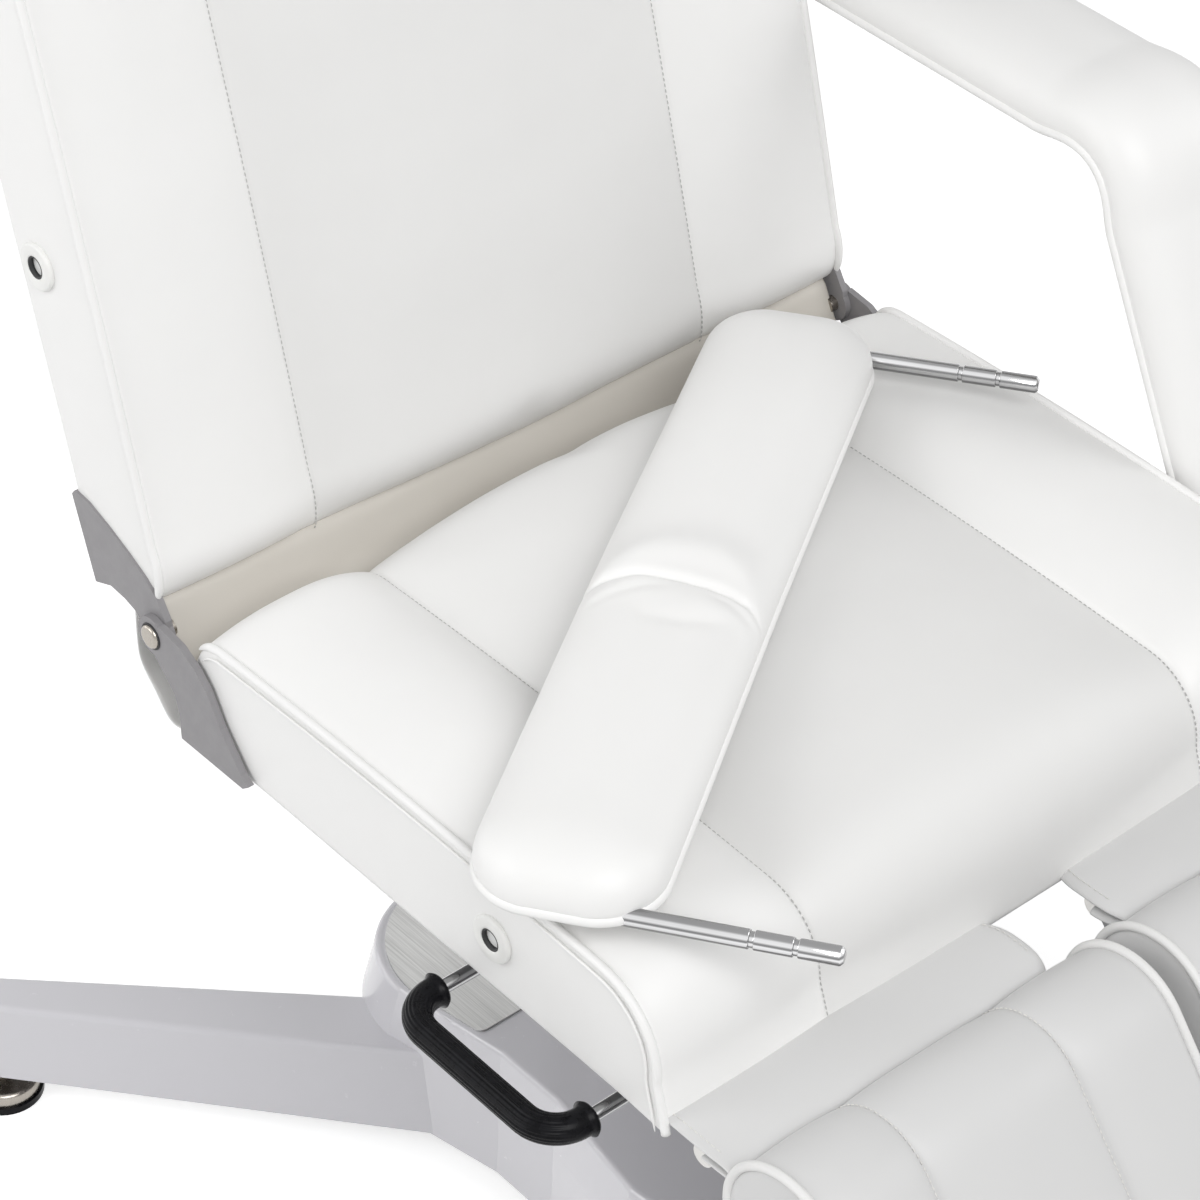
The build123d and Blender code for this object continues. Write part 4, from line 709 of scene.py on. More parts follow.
def piping(name, rows, place, body, trim=no_trim, out_x=-0.5, out=1.2, skip=(0, 0), radius=PIPING_R,
           taper=(False, False), cover=WHITE):
    """Piping along both sides of a cushion. A tapered end runs out to a point."""
    parts = []
    for row, sign in ((0, -1), (-1, 1)):
        line = edge_line(rows[row], place, trim, sign * out_x, out, skip)
        points = smooth_line(line, max(8, len(line) * 3))
        along = distances(points)
        radii = np.full(len(points), radius)
        for tapered, distance in zip(taper, (along, along[-1] - along)):
            if tapered:
                share = np.minimum(distance / TAPER_LENGTH, 1) ** 0.7
                radii = np.minimum(radii, TAPER_END + (radius - TAPER_END) * share)
        parts.append(tube_mesh(points, radii))
    make_object(name, join(parts), cover, body)


# Seat cushion: sizes as sewn
SEAT_HALF = 304.0
SEAT_SEAM = 168.0
SEAT_REAR_Y = 129.0
SEAT_FRONT_Y = -322.0
SEAT_LOW_Z = 479.0
SEAT_SEAM_Z = 562.0
SEAT_REAR_ROUND = 28.0
SEAT_FRONT_ROUND = 50.0
SEAT_TUCK = 12.0
SEAT_CAMBER = 4.0
ROLL = math.sqrt(0.5)


def seat_outline(lift):
    rear_top = SEAT_SEAM_Z - SEAT_REAR_ROUND + lift / 2
    front_top = SEAT_SEAM_Z - SEAT_FRONT_ROUND
    front_y = SEAT_FRONT_Y + SEAT_TUCK - lift / 3
    return [
        (SEAT_REAR_Y, SEAT_LOW_Z),
        (SEAT_REAR_Y, rear_top),
        ((SEAT_REAR_Y - SEAT_REAR_ROUND * (1 - ROLL), rear_top + (SEAT_SEAM_Z + lift - rear_top) * ROLL),
         (SEAT_REAR_Y - SEAT_REAR_ROUND, SEAT_SEAM_Z + lift)),
        (((SEAT_REAR_Y + SEAT_FRONT_Y) / 2, SEAT_SEAM_Z + lift + SEAT_CAMBER),
         (front_y + SEAT_FRONT_ROUND, SEAT_SEAM_Z + lift)),
        ((front_y + SEAT_FRONT_ROUND * (1 - ROLL), front_top + (SEAT_FRONT_ROUND + lift) * ROLL),
         (front_y, front_top)),
        (SEAT_FRONT_Y, SEAT_LOW_Z),
    ]


def make_seat():
    edges = [-SEAT_HALF + 2, -SEAT_SEAM, SEAT_SEAM, SEAT_HALF - 2]
    rows = cushion("seat_pad", seat_outline, edges, [5, 0, 0, 5], [18, 26, 18], stay, "seat",
                   "seat_cushion", seed=3, side_bulge=1.0, hold=True, panel=True)
    piping("seat_piping", rows, stay, "seat", skip=(9, 0), taper=(True, False))
    piping("seat_flange", rows, stay, "seat", out_x=1.6, out=-6.2, skip=(9, 0), radius=1.0,
           taper=(True, True))


# Backrest cushion
BACK_HALF = 304.0
BACK_SEAM = 172.0
BACK_FOOT = 20.0
BACK_TOP = 640.0
BACK_REAR = 64.0
BACK_SEAM_Y = 10.0
BACK_CORNER = 60.0
BACK_FOOT_ROUND = 40.0
BACK_TOP_ROUND = 50.0
BACK_REAR_ROUND = 25.0


def back_outline(lift):
    front = -BACK_SEAM_Y - lift
    return [
        (BACK_REAR, BACK_TOP),
        (BACK_TOP_ROUND / 2, BACK_TOP),
        ((front + BACK_TOP_ROUND * (1 - ROLL) / 2, BACK_TOP - BACK_TOP_ROUND * (1 - ROLL)),
         (front, BACK_TOP - BACK_TOP_ROUND)),
        ((front - SEAT_CAMBER, (BACK_FOOT + BACK_TOP) / 2), (front, BACK_FOOT + BACK_FOOT_ROUND)),
        ((front * ROLL, BACK_FOOT + BACK_FOOT_ROUND * (1 - ROLL)), (0.0, BACK_FOOT)),
        (BACK_REAR - BACK_REAR_ROUND, BACK_FOOT),
        ((BACK_REAR - BACK_REAR_ROUND * (1 - ROLL), BACK_FOOT + BACK_REAR_ROUND * (1 - ROLL)),
         (BACK_REAR, BACK_FOOT + BACK_REAR_ROUND)),
    ]


def back_trim(x, p):
    """Round the top corners: the outer panels narrow towards the top."""
    over = p[1] - (BACK_TOP - BACK_CORNER)
    if over <= 0 or abs(x) <= BACK_SEAM:
        return x
    width = rounded_half(BACK_HALF, BACK_CORNER, over)
    share = (abs(x) - BACK_SEAM) / (BACK_HALF - BACK_SEAM)
    return math.copysign(BACK_SEAM + (width - BACK_SEAM) * share, x)


def make_back():
    edges = [-BACK_HALF + 2, -BACK_SEAM, BACK_SEAM, BACK_HALF - 2]
    rows = cushion("back_pad", back_outline, edges, [2, 0, 0, 2], [13, 20, 13], placed_back, "back",
                   "back_cushion", trim=back_trim, seed=11, side_bulge=1.0, hold=True, panel=True)
    piping("back_piping", rows, placed_back, "back", back_trim, skip=(0, 9), taper=(True, True))


# Leg rests
LEG_INNER = 10.0
LEG_OUTER = 300.0
LEG_SEAMS = (95.0, 219.0)
LEG_END_R = 45.5
LEG_END_Y = 50.0
LEG_END_Z = 57.7
LEG_LENGTH = 514.0
LEG_TOE = 40.0


def leg_outline(lift):
    low = LEG_END_Z - LEG_END_R
    top = LEG_END_Z + LEG_END_R + lift
    near = -LEG_END_Y
    reach = LEG_END_R + lift / 3
    return [
        (near, low),
        ((near + reach * ROLL, LEG_END_Z - LEG_END_R * ROLL), (near + reach, LEG_END_Z)),
        ((near + reach * ROLL, LEG_END_Z + (LEG_END_R + lift) * ROLL), (near, top)),
        (((near - LEG_LENGTH) / 2, top + SEAT_CAMBER / 2), (-LEG_LENGTH + LEG_TOE, top)),
        ((-LEG_LENGTH + LEG_TOE * (1 - ROLL), top - LEG_TOE * (1 - ROLL)), (-LEG_LENGTH, top - LEG_TOE)),
        (-LEG_LENGTH, low),
    ]


def make_leg(label, side):
    def place(points):
        return placed_leg([(side * x, y, z) for x, y, z in points])
    edges = [LEG_INNER + 2, *LEG_SEAMS, LEG_OUTER - 2]
    # The leg cover is the greyer leatherette: painted shade
    rows = cushion(f"leg_pad_{label}", leg_outline, edges, [2, 0, 0, 2], [8, 8, 8], place, f"leg_{label}",
                   f"leg_cushion_{label}", seed=21 + side, swell=4.0, cover=LEG_PAINTED_SHADE)
    # The leg piping is darker than the white leatherette: painted shade, as on the leg cover
    piping(f"leg_piping_{label}", rows, place, f"leg_{label}", cover=PANEL)


# Headrest
HEAD_HALF = 140.0
HEAD_LOW = 658.0
HEAD_HIGH = 858.0
HEAD_REAR = 54.0
HEAD_FRONT = -4.0
HEAD_CORNER = 45.0


def head_outline(lift):
    front = HEAD_FRONT - lift
    return [
        (HEAD_REAR, HEAD_HIGH),
        ((front + (HEAD_REAR - front) * 0.16, HEAD_HIGH - HEAD_CORNER * 0.18),
         (front, HEAD_HIGH - HEAD_CORNER)),
        ((front - 5.0, (HEAD_LOW + HEAD_HIGH) / 2), (front, HEAD_LOW + HEAD_CORNER)),
        ((front + (HEAD_REAR - front) * 0.16, HEAD_LOW + HEAD_CORNER * 0.18), (HEAD_REAR - 28.0, HEAD_LOW)),
        (HEAD_REAR, HEAD_LOW),
    ]


def head_trim(x, p):
    """Round all four corners."""
    over = max(p[1] - (HEAD_HIGH - HEAD_CORNER), HEAD_LOW + HEAD_CORNER - p[1])
    return x * rounded_half(HEAD_HALF, HEAD_CORNER, over) / HEAD_HALF if over > 0 else x


def make_headrest():
    rows = cushion("headrest_pad", head_outline, [-HEAD_HALF + 1, HEAD_HALF - 1], [0, 0], [14], placed_back,
                   "headrest", "headrest_cushion", trim=head_trim, seed=31, side_bulge=1.5)
    piping("headrest_piping", rows, placed_back, "headrest", head_trim, radius=2.6, taper=(True, True))


# Armrests: own frame, x across (0 at the pin side), y along from the elbow to the rear, h above the pin axis
ARM_WIDTH = 118.0
ARM_LOW = -3.5
ARM_TOP = 37.5
ARM_END = 12.0
ARM_CORNER = 42.0
ARM_DOME = 2.5         # crown along the middle, on top of the rounded edges
ARM_ROUND_POWER = 2.5
ARM_RISE = math.tan(math.radians(1.2))
ARM_CREST = 24.0       # half length over which the two slopes meet
BAND_R = 3.9
BAND_INSET = 2.4
SKIN_LOW = 4.6
ARM_BEND_HALF = 50.0
arm_front_length = math.hypot(ARM_FRONT.y - ELBOW.y, ARM_FRONT.z - ELBOW.z) / MM
rear_pin = ((PIN_REAR_LOW.y + PIN_REAR_HIGH.y) / 2 / MM, (PIN_REAR_LOW.z + PIN_REAR_HIGH.z) / 2 / MM)
arm_rear_length = math.hypot(rear_pin[0] - ELBOW.y / MM, rear_pin[1] - ELBOW.z / MM)
arm_inner_x = PAD_LOW.x / MM
ARM_NEAR = -arm_front_length - ARM_END
ARM_FAR = arm_rear_length + ARM_END
ARM_MIDDLE = (ARM_NEAR + ARM_FAR) / 2
ARM_REACH = (ARM_FAR - ARM_NEAR) / 2
ARM_HALF = ARM_WIDTH / 2

FOLD_REACH = 110.0

# Folds over the elbow of the straight armrest: each is a line of (x, y), a depth and a half width
CREASE = [(-118, -20), (-101, -12), (-83, -5.5), (-56, -6.2), (-28, -9.8), (-9, -13.6), (0, -19)]
BULGE = [(-118, -14), (-100, 3), (-83, 15), (-60, 21), (-37, 20), (-20, 12), (-5, -4), (0, -10)]
FOLDS = [
    ([(-112, -42), (-102, -35), (-88, -26), (-74, -20), (-62, -18)], 1.7, 4.5),
    ([(-80, -42), (-66, -46), (-44, -46), (-24, -40), (-10, -33)], 1.3, 6.0),
    ([(-34, -18), (-20, -20), (-8, -25), (2, -31)], 1.6, 4.0),
]


def arm_inset(x, y):
    """How far a point lies inside the rounded plan outline of a pad."""
    qx = abs(x + ARM_HALF) - (ARM_HALF - ARM_CORNER)
    qy = abs(y - ARM_MIDDLE) - (ARM_REACH - ARM_CORNER)
    outside = math.hypot(max(qx, 0), max(qy, 0))
    return ARM_CORNER - outside - min(max(qx, qy), 0)


def arm_lift(y):
    """Each section slopes up to the elbow."""
    return ARM_RISE * (ARM_REACH - ARM_END - math.hypot(y - ARM_MIDDLE, ARM_CREST))


def arm_skin(x, y, folded):
    """Height of the cover above the pin axis."""
    d = min(max(arm_inset(x, y), 0) / ARM_CORNER, 1)
    edge = (1 - (1 - d) ** ARM_ROUND_POWER) ** (1 / ARM_ROUND_POWER)
    across = (x + ARM_HALF) / ARM_HALF
    top = SKIN_LOW + (ARM_TOP - ARM_DOME - SKIN_LOW) * edge + ARM_DOME * (1 - across ** 2) * d
    return top + edge * elbow_folds(x, y) if folded else top


def line_y(line, x):
    return float(np.interp(x, [p[0] for p in line], [p[1] for p in line]))


def elbow_folds(x, y):
    """Height that the folds add to the cover over the elbow."""
    if abs(y) > FOLD_REACH:
        return 0.0
    across = abs(x + ARM_HALF) / ARM_HALF
    fade = 1 - across ** 6
    d = y - line_y(CREASE, x)
    b = y - line_y(BULGE, x)
    ridge = 4.6 * math.exp(-(b / (20.0 if b > 0 else 13.0)) ** 2) * fade
    lower = 1.6 * math.exp(-((d + 17) / 10) ** 2) * fade
    cut = -7.2 * math.exp(-abs(d / 2.2) ** 1.4) * (1 - 0.45 * across ** 4)
    out = ridge + lower + cut
    for line, depth, half in FOLDS:
        low, high = line[0][0], line[-1][0]
        along = (x - low) / (high - low)
        if 0 < along < 1:
            near = y - line_y(line, x)
            swell = math.sin(math.pi * along)
            out -= depth * swell ** 0.7 * math.exp(-(near / half) ** 2)
            out += depth * 0.5 * swell * math.exp(-((near - 1.9 * half) / (1.4 * half)) ** 2)
    return out


def arm_stations():
    """Y places: close together at both rounded ends and over the elbow."""
    ends = [ARM_CORNER * (k / 14) ** 2 for k in range(14)]
    places = [ARM_NEAR + d for d in ends]
    y = ARM_NEAR + ARM_CORNER
    while y < ARM_FAR - ARM_CORNER:
        places.append(y)
        y += 2.4 if -62 < y < 56 else 6.0
    places += [ARM_FAR - d for d in reversed(ends)]
    return places


def arm_shape(folded):
    """A whole pad, both sections under one skin."""
    columns = [math.sin(math.pi / 2 * k / 22) for k in range(-22, 23)]
    ys = arm_stations()
    skin, under = [], []
    for y in ys:
        width = rounded_half(ARM_HALF, ARM_CORNER, abs(y - ARM_MIDDLE) - (ARM_REACH - ARM_CORNER))
        for t in columns:
            x = -ARM_HALF + width * t
            skin.append((x, y, arm_skin(x, y, folded) + arm_lift(y)))
            under.append((-ARM_HALF + (width - 3.0) * t, ARM_MIDDLE + (y - ARM_MIDDLE) * 0.99,
                          ARM_LOW + 1.5 + arm_lift(y)))
    return closed_pair(skin, under, len(ys), len(columns))


def arm_outline(inset):
    """Rounded plan outline of a pad, moved inwards, as a closed loop with a fixed number of points."""
    radius = ARM_CORNER - inset
    near, far = ARM_NEAR + ARM_CORNER, ARM_FAR - ARM_CORNER
    corners = [(-ARM_CORNER, far, 0), (-ARM_WIDTH + ARM_CORNER, far, 90),
               (-ARM_WIDTH + ARM_CORNER, near, 180), (-ARM_CORNER, near, 270)]

    def on_round(cx, cy, degrees):
        a = math.radians(degrees)
        return cx + radius * math.cos(a), cy + radius * math.sin(a)
    points = []
    for i, (cx, cy, start) in enumerate(corners):
        points += [on_round(cx, cy, start + 90 * k / 12) for k in range(13)]
        last, following = points[-1], on_round(*corners[(i + 1) % 4])
        steps = 3 if i % 2 == 0 else 130
        points += [(last[0] + (following[0] - last[0]) * k / steps,
                    last[1] + (following[1] - last[1]) * k / steps) for k in range(1, steps)]
    return points


def band_mesh():
    """The thick piped band round the underside of a pad."""
    steps = 12
    verts = []
    for k in range(steps):
        a = 2 * math.pi * k / steps
        loop = arm_outline(BAND_INSET - BAND_R * math.cos(a))
        verts += [(x, y, ARM_LOW + BAND_R + BAND_R * math.sin(a) + arm_lift(y)) for x, y in loop]
    return verts, grid_faces(steps, len(loop), close_rows=True, close_columns=True)


def bent_arm(points):
    """The fitted armrest on the +X side at rest: the straight shape turned at its elbow."""
    front_turn = math.atan2((ELBOW.z - ARM_FRONT.z) / MM, (ELBOW.y - ARM_FRONT.y) / MM)
    rear_turn = math.atan2(rear_pin[1] - ELBOW.z / MM, rear_pin[0] - ELBOW.y / MM)
    out = []
    for x, y, h in points:
        t = min(max((y + ARM_BEND_HALF) / (2 * ARM_BEND_HALF), 0), 1)
        turn = front_turn + (rear_turn - front_turn) * t * t * (3 - 2 * t)
        c, s = math.cos(turn), math.sin(turn)
        out.append((arm_inner_x - x, ELBOW.y / MM + y * c - h * s, ELBOW.z / MM + y * s + h * c))
    return np.array(out)


# Loose armrest: its axes on the seat
LOOSE_TURN = math.radians(57.3)
LOOSE_TILT = math.radians(3.0)
LOOSE_MIDDLE = Vector((-30.4, -121.0, 600.8))


def loose_arm(points):
    """The straight armrest as it lies on the seat."""
    long_axis = Vector((math.sin(LOOSE_TURN), math.cos(LOOSE_TURN), 0))
    level = Vector((math.cos(LOOSE_TURN), -math.sin(LOOSE_TURN), 0))
    pin_axis = level * math.cos(LOOSE_TILT) + Vector((0, 0, 1)) * math.sin(LOOSE_TILT)
    up = pin_axis.cross(long_axis)
    elbow = LOOSE_MIDDLE - long_axis * ((arm_rear_length - arm_front_length) / 2)
    return np.array([tuple(elbow + pin_axis * x + long_axis * y + up * h) for x, y, h in points])


PIN_R = 6.0
PIN_LENGTH = 110.0
PIN_START = -40.0


def pin_mesh(y):
    """A chromed pin with two grooves and a chamfered tip, along x from inside the pad."""
    profile = [(PIN_START, 0.01), (PIN_START, PIN_R)]
    for distance in (54.0, 28.0):
        x = PIN_LENGTH - distance
        for dx, depth in ((-1.9, 0), (-1.5, 0.25), (-1.1, 1.1), (1.1, 1.1), (1.5, 0.25), (1.9, 0)):
            profile.append((x + dx, PIN_R - depth))
    profile += [(PIN_LENGTH - 2.4, PIN_R), (PIN_LENGTH - 1.9, PIN_R - 0.2), (PIN_LENGTH - 0.2, PIN_R - 1.9),
                (PIN_LENGTH, PIN_R - 2.4), (PIN_LENGTH, 0.01)]
    verts, faces = lathe(profile, 64)
    return [(x, y + a, b) for x, a, b in verts], faces


def make_pins():
    front, rear = pin_mesh(-arm_front_length), pin_mesh(arm_rear_length)
    for node, shape, place, body in (("arm_pin_front_left", front, bent_arm, "arm_pin"),
                                     ("arm_pin_rear_left", rear, bent_arm, "arm_rear"),
                                     ("arm_pins_right", join([front, rear]), loose_arm, "arm_loose")):
        pin = make_object(f"{node}_chrome", moved(shape, place), CHROME, body, "chrome", sharp=25)
        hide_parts(node)


def rivet_mesh(x, y):
    """A small nickel rivet head under the end of a pad's band."""
    profile = [(0.0, 0.01), (0.0, 3.4), (-0.7, 3.2), (-1.3, 2.4), (-1.6, 1.2), (-1.7, 0.01)]
    verts, faces = lathe(profile, 24)
    return [(x + a, y + b, ARM_LOW + 1.2 + c) for c, a, b in verts], faces


def make_armrests():
    # Fitted on the +X side: one skin that bends over the elbow
    pad = make_object("arm_pad_left", moved(arm_shape(False), bent_arm), WHITE, None)
    subdivide(pad)
    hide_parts("arm_pad_front_left", "arm_pad_rear_left", "arm_elbow_foam_left")
    band = make_object("arm_band_left", moved(band_mesh(), bent_arm), WHITE, None)
    reach = ARM_BEND_HALF * 0.9
    start, end = (bent_arm([(0, y, 20)])[0] * MM for y in (-reach, reach))
    for piece in (pad, band):
        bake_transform(piece)
    # Loose, on the seat
    pad = make_object("arm_pad_right", moved(arm_shape(True), loose_arm), WHITE, None)
    subdivide(pad)
    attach(pad, "arm_loose")
    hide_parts("arm_pads_right")
    make_object("arm_band_right", moved(band_mesh(), loose_arm), WHITE, "arm_loose")
    rivet = moved(rivet_mesh(-32.0, ARM_NEAR + 5.0), loose_arm)
    make_object("arm_rivet_right", rivet, NICKEL, "arm_loose", "zinc_steel")


# Front flaps
FLAP_INNER = 29.0
FLAP_OUTER = 300.0
FLAP_CENTRE = 346.0
FLAP_HALF = 32.0
FLAP_ROUND = 9.0
CLOTH = 1.6            # thickness of the folded vinyl
HEM = 7.0              # how far the stitches lie inside an edge


def flap_line(x, side):
    """Side view of a flap at one X: out over the hinge to the leg rest, over a soft fold and back under."""
    end = abs(x) / FLAP_OUTER
    ripple = 1.1 * math.sin(abs(x) / 31.0) + 0.6 * math.sin(abs(x) / 12.0 + side)
    sag = 2.6 * end ** 8
    curl = max(0.0, 1 - (abs(x) - FLAP_INNER) / 9.0) if x < FLAP_INNER + 9 else 0.0
    drop = 4.0 * curl ** 2
    return [
        (-312.0, 484.5 - drop),
        (-322.0, 487.6 - sag * 0.3 - drop),
        (-337.0, 489.8 - sag + ripple * 0.3 - drop),
        (-355.0, 490.2 - sag + ripple * 0.4 - drop),
        (-369.0, 489.2 - sag * 0.4 + ripple * 0.2 - drop),
        (-375.6, 486.8 - drop),
        (-376.4, 483.9 - drop),
        (-372.5, 482.2 - drop),
        (-362.0, 481.5 - drop),
        (-350.0, 481.2 - drop),
    ]


def flap_x(x, y):
    """Draws the inner end of a flap back towards its corners, so that it ends in a round."""
    off_middle = min(1.0, abs(y + FLAP_CENTRE) / FLAP_HALF)
    return x + FLAP_ROUND * off_middle ** 3 * max(0.0, 1 - (x - FLAP_INNER) / 60.0)


def sheet_mesh(lines):
    """A thin closed sheet through a row of lines, all with the same number of points."""
    grid = np.array(lines)
    half = unit(np.cross(np.gradient(grid, axis=0), np.gradient(grid, axis=1))) * CLOTH / 2
    return closed_pair((grid + half).reshape(-1, 3), (grid - half).reshape(-1, 3), *grid.shape[:2])


def stitches(name, line, body, blend=None, length=3.2, gap=1.6, radius=0.42, thread=THREAD):
    """A row of thread stitches along a line, riding on a body, or with its place baked into its points where
    blend is given.
    """
    p = np.array(line, float)
    along = distances(p)
    parts = []
    for k in range(int(along[-1] / (length + gap))):
        start = k * (length + gap)
        ends = [[np.interp(at, along, p[:, axis]) for axis in range(3)]
                for at in (start, start + length / 2, start + length)]
        parts.append(tube_mesh(ends, [radius * 0.5, radius, radius * 0.5], around=6))
    obj = make_object(name, join(parts), thread, body)
    if blend:
        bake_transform(obj)


def make_flaps():
    for label, side in (("left", 1), ("right", -1)):
        lines = []
        for x in np.linspace(FLAP_INNER, FLAP_OUTER, 60):
            line = smooth_line(flap_line(x, side), 40)
            lines.append([(side * flap_x(x, y), y, z) for y, z in line])
        # The flap is the greyer leg leatherette: painted shade
        flap = make_object(f"leg_flap_cover_{label}", sheet_mesh(lines), LEG_PAINTED_SHADE, None)
        subdivide(flap)
        length = distances(lines[0])[-1]
        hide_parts(f"leg_flap_{label}")
        ends = ("seat", f"leg_{label}", (0, -0.352, 0.480), (0, -0.378, 0.460))
        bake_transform(flap)
        for place, x in (("inner", FLAP_INNER + HEM), ("outer", FLAP_OUTER - HEM)):
            line = smooth_line(flap_line(x, side), 60)
            lifted = [(side * flap_x(x, y), y, z + CLOTH / 2 + 0.2) for y, z in line[4:34]]
            stitches(f"leg_flap_stitches_{place}_{label}", lifted, None, blend=ends)


# Rear gusset
GUSSET_HALF = 296.0


def belly_line(x):
    """Side view of the outer skin: from under the back, down in a belly, and up behind the seat."""
    wave = 1.2 * math.sin(x / 47.0) + 0.7 * math.sin(x / 21.0 + 1)
    tuck = 3.0 * max(0.0, (abs(x) - GUSSET_HALF + 14) / 14) ** 2
    return [
        (201.7, 551.0), (203.0 - tuck * 0.3, 532.0), (204.0 - tuck + wave * 0.3, 506.0),
        (200.0 - tuck + wave * 0.3, 492.0 + tuck * 0.5), (184.0, 477.5 + tuck + wave * 0.4),
        (168.0, 462.0 + tuck + wave * 0.4), (152.0, 464.5 + tuck), (138.5 + tuck * 0.5, 483.0),
        (135.0, 508.0), (134.0, 532.0),
    ]


def web_line(x):
    """Side view of the inner web: a shallow sag from the back's lower edge to the seat's upper rear edge."""
    wave = 0.8 * math.sin(x / 39.0) + 0.5 * math.sin(x / 17.0 + 2)
    return [
        (176.0, 565.5), (169.5, 559.0), (163.0, 546.0 + wave * 0.3), (156.5, 534.5 + wave * 0.6),
        (149.0, 528.0 + wave * 0.6), (141.0, 529.5 + wave * 0.5), (133.5, 536.0), (127.0, 543.0),
    ]


def make_gusset():
    spread = np.linspace(-GUSSET_HALF, GUSSET_HALF, 90)
    ends = ("seat", "back", (0, 0.150, 0.470), (0, 0.205, 0.535))
    # The inner web takes the beige vinyl: painted shade
    for name, shape, vinyl, steps in (("rear_gusset_cover", belly_line, WHITE, 60),
                                      ("rear_gusset_web", web_line, GUSSET_PAINTED_SHADE, 30)):
        lines = [[(x, y, z) for y, z in smooth_line(shape(x), steps)] for x in spread]
        sheet = make_object(name, sheet_mesh(lines), vinyl, None)
        subdivide(sheet)
        length = distances(lines[0])[-1]
        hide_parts("rear_gusset")
        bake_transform(sheet)
    for label, side in (("left", 1), ("right", -1)):
        x = GUSSET_HALF - HEM
        line = smooth_line(belly_line(x), 120)[8:104]
        outward = [(side * x, y + 1.0, z - 0.5) for y, z in line]
        stitches(f"rear_gusset_stitches_{label}", outward, None, blend=ends)


# Grommets round the armrest sockets

def lathe(profile, steps=48):
    """A shape turned round the X axis. The profile is (x, radius) pairs, closed."""
    turns = [2 * math.pi * k / steps for k in range(steps)]
    verts = [(x, r * math.cos(a), r * math.sin(a)) for x, r in profile for a in turns]
    return verts, grid_faces(len(profile), steps, close_rows=True, close_columns=True)


GROMMET_R = 16.5
GROMMET_HOLE = 6.8
GROMMET_RISE = 2.6


def make_grommets():
    for node, body in (("seat_grommets", "seat"), ("back_grommets", "back")):
        low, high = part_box(node)
        y, z = (low.y + high.y) / 2 / MM, (low.z + high.z) / 2 / MM
        face = high.x / MM - 2.5
        rim = face + GROMMET_RISE
        ring = [(face - 3.0, GROMMET_R - 1.5), (face, GROMMET_R)]
        ring += [(face + GROMMET_RISE * math.sin(a), GROMMET_R - 1.8 * (1 - math.cos(a)))
                 for a in (0.5, 0.9, 1.25, 1.57)]
        ring += [(rim + 0.2, GROMMET_R - 4.5), (rim, GROMMET_HOLE + 1.9), (rim - 0.3, GROMMET_HOLE + 1.1),
                 (face - 1.0, GROMMET_HOLE + 1.0), (face - 3.0, GROMMET_HOLE + 2.0)]
        bore = [(rim - 0.4, GROMMET_HOLE - 0.05), (face - 12.0, GROMMET_HOLE - 0.05),
                (face - 12.0, GROMMET_HOLE + 0.9), (rim - 0.4, GROMMET_HOLE + 0.95)]
        for name, profile, material, slot in (("rings", ring, WHITE_PLASTIC, "white_plastic"),
                                              ("bores", bore, BLACK_PLASTIC, "rubber")):
            verts, faces = lathe(profile)
            both = join([([(side * a, b + y, c + z) for a, b, c in verts], faces) for side in (-1, 1)])
            obj = make_object(f"{body}_grommet_{name}", both, material, body, slot)
            if name == "rings":
                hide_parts(node)


# Release grips: ribbed rubber sleeves
GRIP_R = 9.75
GRIP_COLLAR_R = 12.0
GRIP_BEND = 24.0
GRIP_AROUND = 96
GRIP_RIB_DEPTH = 0.7
GRIP_PLAIN = 14.0      # length at each end before the ribs start
GRIP_HOLE_SHARE = 0.49


def rounded_line(corners, radius, step=2.0):
    """A line whose corners are rounded by arcs."""
    p = [np.array(c, float) for c in corners]
    points = [p[0]]
    for before, corner, after in zip(p, p[1:], p[2:]):
        a, b = unit(before - corner), unit(after - corner)
        half = math.acos(float(a @ b)) / 2
        centre = corner + unit(a + b) * radius / math.sin(half)
        start, end = (corner + way * radius / math.tan(half) for way in (a, b))
        for t in np.linspace(0, 1, 14):
            points.append(centre + unit((start - centre) * (1 - t) + (end - centre) * t) * radius)
    points = np.array(points + [p[-1]])
    return resample(points, int(distances(points)[-1] / step))


def make_grips():
    for label, side in (("left", 1), ("right", -1)):
        low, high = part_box(f"release_grip_{label}")
        z = (low.z + high.z) / 2 / MM
        inner = (low.x if side > 0 else high.x) / MM
        outer = (high.x if side > 0 else low.x) / MM - side * GRIP_R
        front = low.y / MM + GRIP_COLLAR_R
        rear = high.y / MM - GRIP_COLLAR_R
        line = rounded_line([(inner, rear, z), (outer, rear, z), (outer, front, z), (inner, front, z)],
                            GRIP_BEND)
        along = distances(line)
        to_end = np.minimum(along, along[-1] - along)
        radii = GRIP_R + (GRIP_COLLAR_R - GRIP_R) * np.exp(-((to_end - 1.8) / 1.9) ** 4)
        depths = GRIP_RIB_DEPTH * np.clip((to_end - GRIP_PLAIN) / 12.0, 0, 1)
        verts, faces = tube_mesh(line, radii, GRIP_AROUND, ribs=22, rib_depth=depths, cap=False)
        # Flat ends, with the bar's hole in them
        for start, middle in ((0, line[0]), ((len(line) - 1) * GRIP_AROUND, line[-1])):
            ring = len(verts)
            verts += [middle + (verts[start + k] - middle) * GRIP_HOLE_SHARE for k in range(GRIP_AROUND)]
            for k in range(GRIP_AROUND):
                following = (k + 1) % GRIP_AROUND
                faces.append((start + k, start + following, ring + following, ring + k))
        obj = make_object(f"release_sleeve_{label}", (verts, faces), RUBBER, f"release_{label}", "rubber")
        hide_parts(f"release_grip_{label}")


WASHER_R = 9.0


